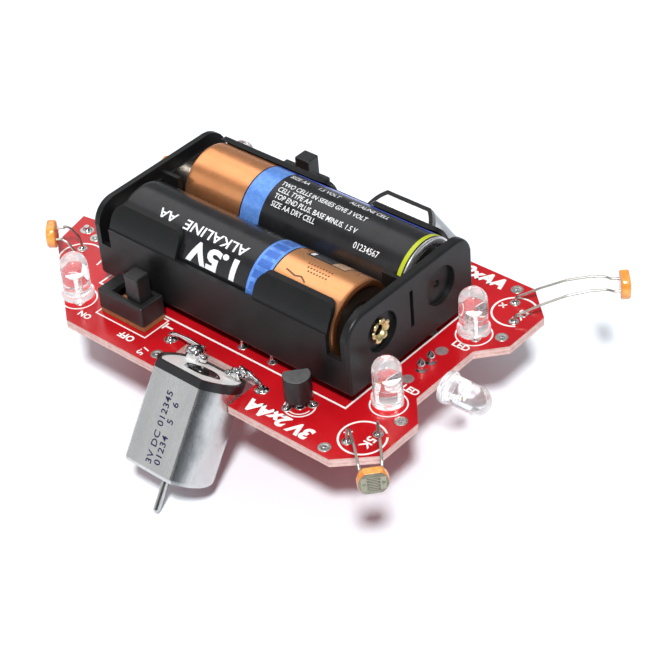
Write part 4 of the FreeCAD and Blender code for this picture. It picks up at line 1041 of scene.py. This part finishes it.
for name, (c, n) in LDR.items():
    n = Vector(n).normalized()
    side = Vector((-n.y, n.x, 0))
    c = Vector(c)

    def Q(u, v, h, c=c, n=n, side=side):
        return c + side * u + Vector((0, 0, 1)) * v + n * h
    out = []
    for i in range(64):
        a = 2 * pi * i / 64
        out.append((2.52 * math.cos(a), max(-2.12, min(2.12, 2.52 * math.sin(a)))))
    layers = [(-0.84, 0.86), (-0.80, 0.93), (-0.66, 0.985), (-0.4, 1.0), (0.35, 1.0), (0.62, 0.985), (0.76, 0.945), (0.81, 0.885)]
    vs, fs, ms = [], [], []
    for h, k in layers:
        vs += [Q(u * k, v * k, h) for u, v in out]
    nn = 64
    mb = MB()
    fs = [[l * nn + i, l * nn + (i + 1) % nn, (l + 1) * nn + (i + 1) % nn, (l + 1) * nn + i] for l in range(len(layers) - 1) for i in range(nn)]
    mb.add(vs, fs[:nn * 6], 0)
    mb.add(vs, fs[nn * 6:], 1)
    for (h, k), extra, mt in ((layers[0], -0.06, 0), (layers[-1], 0.025, 1)):
        ring = [Q(u * k, v * k, h) for u, v in out]
        mid = [Q(u * k * 0.6, v * k * 0.6, h + extra * 0.8) for u, v in out]
        cen = [Q(0, 0, h + extra)]
        vv = ring + mid + cen
        ff = [[i, (i + 1) % nn, nn + (i + 1) % nn, nn + i] for i in range(nn)] + [[nn + i, nn + (i + 1) % nn, 2 * nn] for i in range(nn)]
        mb.add(vv, ff, mt)
    # electrodes: two combs with a winding track between their fingers
    F = lambda u, v, h: Q(u, v, 0.825 + h)
    for s in (-1, 1):
        rect2(mb, F, s * 1.95, s * 1.05, -1.25, 1.25, 2, 0.012, n=4)
        lathe(mb, [(0.30, 0.0), (0.27, 0.05), (0.15, 0.09), (0, 0.1)], Q(s * 1.5, 0.05, 0.83), n, n=20, mat=4)
        for k in range(4):
            v0 = -1.2 + 0.66 * k + (0.33 if s > 0 else 0)
            rect2(mb, F, s * 1.06, -s * 0.72, v0, v0 + 0.14, 2, 0.012, n=3)
    zig = []
    for k in range(8):
        v = -1.30 + 0.335 * k
        zig += [(-0.88, v), (0.88, v)] if k % 2 == 0 else [(0.88, v), (-0.88, v)]
    strip(mb, zig, 0.13, F, mat=3, t=0.010)
    make("sensor_%s_disc" % name, mb, [SLACQ, SFACE, SELEC, STRACK, SDOT], angle=42, replaces=("sensor_" + name,))


# ------------------------------------------------------------------ transistors, resistors
def to92_mat():
    m, nt, b = new_mat("transistor_epoxy")
    geo = N(nt, "ShaderNodeNewGeometry")
    s = N(nt, "ShaderNodeSeparateXYZ")
    nt.links.new(geo.outputs["True Normal"], s.inputs[0])
    # painted light: faces that point up are grey and the sides near black, as if lit from above
    topf = math_(nt, "GREATER_THAN", s.outputs[2], 0.6)
    n1 = noise(nt, 900, 5, 0.65)
    side = mix(nt, maprange(nt, n1, 0.3, 0.7, 0, 1), (0.005, 0.005, 0.0055), (0.010, 0.010, 0.0105))
    painted_light_top = mix(nt, maprange(nt, n1, 0.3, 0.7, 0, 1), (0.065, 0.065, 0.065), (0.10, 0.10, 0.10))
    nt.links.new(mix(nt, topf, side, painted_light_top), b.inputs["Base Color"])
    nt.links.new(math_(nt, "MULTIPLY_ADD", topf, 0.2, maprange(nt, n1, 0.3, 0.7, 0.36, 0.46)), b.inputs["Roughness"])
    bump(nt, b, noise(nt, 4200, 3), 0.00003, 0.6)
    return m


finish_node("transistors", to92_mat())


def resistor_mat():
    m, nt, b = new_mat("resistor_lacquer")
    x, y, z = zone_x(nt)
    t = math_(nt, "SUBTRACT", math_(nt, "ABSOLUTE", y), 9.4)
    c = mix(nt, maprange(nt, noise(nt, 900, 4), 0.3, 0.7, 0, 1), (0.52, 0.36, 0.20), (0.64, 0.47, 0.29))
    for p, w, col in ((-2.1, 0.24, (0.13, 0.03, 0.01)), (-1.1, 0.24, (0.01, 0.01, 0.01)), (-0.2, 0.24, (0.55, 0.02, 0.01)), (1.9, 0.24, (0.55, 0.33, 0.06))):
        c = mix(nt, math_(nt, "LESS_THAN", math_(nt, "ABSOLUTE", math_(nt, "SUBTRACT", t, p)), w), c, col)
    nt.links.new(c, b.inputs["Base Color"])
    nt.links.new(maprange(nt, noise(nt, 1100), 0.3, 0.7, 0.2, 0.32), b.inputs["Roughness"])
    bump(nt, b, noise(nt, 1500, 3), 0.00004, 0.5)
    return m


rs = MB()
for x in (-2.8, -9.6):
    for sd in (-1, 1):
        prof = [(0, -2.8), (0.45, -2.8), (0.8, -2.66), (1.0, -2.3), (1.03, -1.9), (0.98, -1.5), (0.88, -1.15), (0.86, 0), (0.88, 1.15), (0.98, 1.5),
                (1.03, 1.9), (1.0, 2.3), (0.8, 2.66), (0.45, 2.8), (0, 2.8)]
        lathe(rs, prof, (x, sd * 9.4, 1.12), (0, 1, 0), n=32)
make("resistor_bodies", rs, resistor_mat(), angle=60, replaces=("resistors",))

# ------------------------------------------------------------------ foam tape under the holder
FOAM = basic("foam_tape", (0.80, 0.79, 0.76), 0.85, var=0.08, vscale=900, bscale=1600, bdist=0.00012, bstr=0.9, spec=0.2)
for k, (x0, x1) in enumerate(((-36.0, -24.0), (1.5, 11.5))):
    mb = MB()
    nx, ny, nz = 12, 22, 4
    rnd = random.Random(20 + k)
    key, vs, fs = {}, [], []

    def vert(i, j, l):
        if (i, j, l) not in key:
            u, v, w = i / nx * 2 - 1, j / ny * 2 - 1, l / nz * 2 - 1
            pull = 0.28 * (1 - w * w) + 0.10 * abs(w) ** 6
            px = (x0 + x1) / 2 + u * ((x1 - x0) / 2) - (pull * u ** 9) + rnd.uniform(-0.03, 0.03)
            py = v * 11.0 - (pull * v ** 15) + rnd.uniform(-0.03, 0.03)
            pz = 1.15 + w * 1.145
            key[(i, j, l)] = len(vs)
            vs.append((px, py, pz))
        return key[(i, j, l)]
    for i in range(nx):
        for j in range(ny):
            for l, fl in ((0, 1), (nz, 0)):
                q = [vert(i, j, l), vert(i + 1, j, l), vert(i + 1, j + 1, l), vert(i, j + 1, l)]
                fs.append(q[::-1] if fl else q)
    for l in range(nz):
        for i in range(nx):
            for j, fl in ((0, 0), (ny, 1)):
                q = [vert(i, j, l), vert(i + 1, j, l), vert(i + 1, j, l + 1), vert(i, j, l + 1)]
                fs.append(q[::-1] if fl else q)
        for j in range(ny):
            for i, fl in ((0, 1), (nx, 0)):
                q = [vert(i, j, l), vert(i, j + 1, l), vert(i, j + 1, l + 1), vert(i, j, l + 1)]
                fs.append(q[::-1] if fl else q)
    mb.add(vs, fs)
    o = make("foam_%s" % ("rear", "front")[k], mb, FOAM, angle=60, subdiv=1, replaces=("foam_pads",) if k == 0 else ())

# ------------------------------------------------------------------ print on the motor cans
MBLUE = basic("motor_print", (0.010, 0.014, 0.055), 0.5, spec=0.2, var=0.25, vscale=2500, bscale=6000, bdist=0.000005)
for side, sn in ((-1, "right"), (1, "left")):
    mp = MB()

    def on_can(x0, z0, side=side):
        def fn(u, v, h):
            return motor_pt(x0 + (-v if side < 0 else v), 5.803 + h * 0.5, z0 - u, side)
        return fn
    text(mp, "3V DC 012345", 1.25, on_can(0.35 if side < 0 else -0.85, 15.3), bold=0.012, width=1.08, spacing=1.1)
    text(mp, "01234   5   6", 1.25, on_can(2.15 if side < 0 else -2.65, 14.9), bold=0.012, width=1.08, spacing=1.1)
    make("motor_%s_print" % sn, mp, MBLUE, angle=-30)

# ------------------------------------------------------------------ floor and light
fm, nt, b = new_mat("floor_white")
c = mix(nt, maprange(nt, noise(nt, 6, 3), 0.3, 0.7, 0, 1), (0.82, 0.865, 0.92), (0.85, 0.89, 0.94))
nt.links.new(c, b.inputs["Base Color"])
b.inputs["Roughness"].default_value = 0.28
b.inputs["Specular IOR Level"].default_value = 0.25
me = bpy.data.meshes.new("floor")
me.from_pydata([(-6, -6, 0), (6, -6, 0), (6, 6, 0), (-6, 6, 0)], [], [[0, 1, 2, 3]])
me.materials.append(fm)
fo = bpy.data.objects.new("floor", me)
bpy.context.scene.collection.objects.link(fo)

w = bpy.data.worlds.new("studio")
bpy.context.scene.world = w
w.use_nodes = True
wt = w.node_tree
bg = wt.nodes["Background"]
tc = N(wt, "ShaderNodeTexCoord")
sz = N(wt, "ShaderNodeSeparateXYZ")
wt.links.new(tc.outputs["Generated"], sz.inputs[0])
rampf = maprange(wt, sz.outputs[2], 0.12, 0.62, 0, 1)
side_lift = maprange(wt, sz.outputs[0], -0.45, 0.15, 1.0, 0.0)
lit = mix(wt, math_(wt, "MAXIMUM", rampf, side_lift), (0.07, 0.07, 0.072), (0.60, 0.615, 0.64))
lp_ = N(wt, "ShaderNodeLightPath")
wt.links.new(mix(wt, lp_.outputs["Is Camera Ray"], lit, (1.0, 1.0, 1.0)), bg.inputs[0])
bg.inputs[1].default_value = 0.39


def area(name, pos, target, size, power, size_y=None, col=(1, 1, 1)):
    l = bpy.data.lights.new(name, "AREA")
    l.shape = "RECTANGLE"
    l.size, l.size_y = size, size_y or size
    l.energy = power
    l.color = col
    o = bpy.data.objects.new(name, l)
    bpy.context.scene.collection.objects.link(o)
    o.location = pos
    o.visible_camera = False
    o.rotation_euler = (Vector(target) - Vector(pos)).to_track_quat("-Z", "Y").to_euler()
    return o


aim = Vector((0, 0, 0.015))
hv = Vector((-R2[0], -R2[1], 0)).normalized()         # level direction away from the lens
el = math.radians(54)
key_dir = (-hv) * -1
toward_cam = Vector((R2[0], R2[1], 0)).normalized() * -1
d = toward_cam * math.cos(el) + Vector((0, 0, 1)) * math.sin(el)
sun = bpy.data.lights.new("key", "SUN")
sun.energy = 3.8
sun.angle = math.radians(7)
suno = bpy.data.objects.new("key", sun)
bpy.context.scene.collection.objects.link(suno)
suno.rotation_euler = (-d).to_track_quat("-Z", "Y").to_euler()
d2 = Vector((-0.56, -0.775, 0.33)).normalized()
area("fill", aim + d2 * 0.9, aim, 0.62, 0.58)
d4 = Vector((-0.58, 0.14, 0.80)).normalized()
area("top", aim + d4 * 1.0, aim, 0.85, 2.6)
d3 = Vector((0.2, 0.9, 0.75)).normalized()
area("back", aim + d3 * 1.0, aim, 0.8, 1.2)
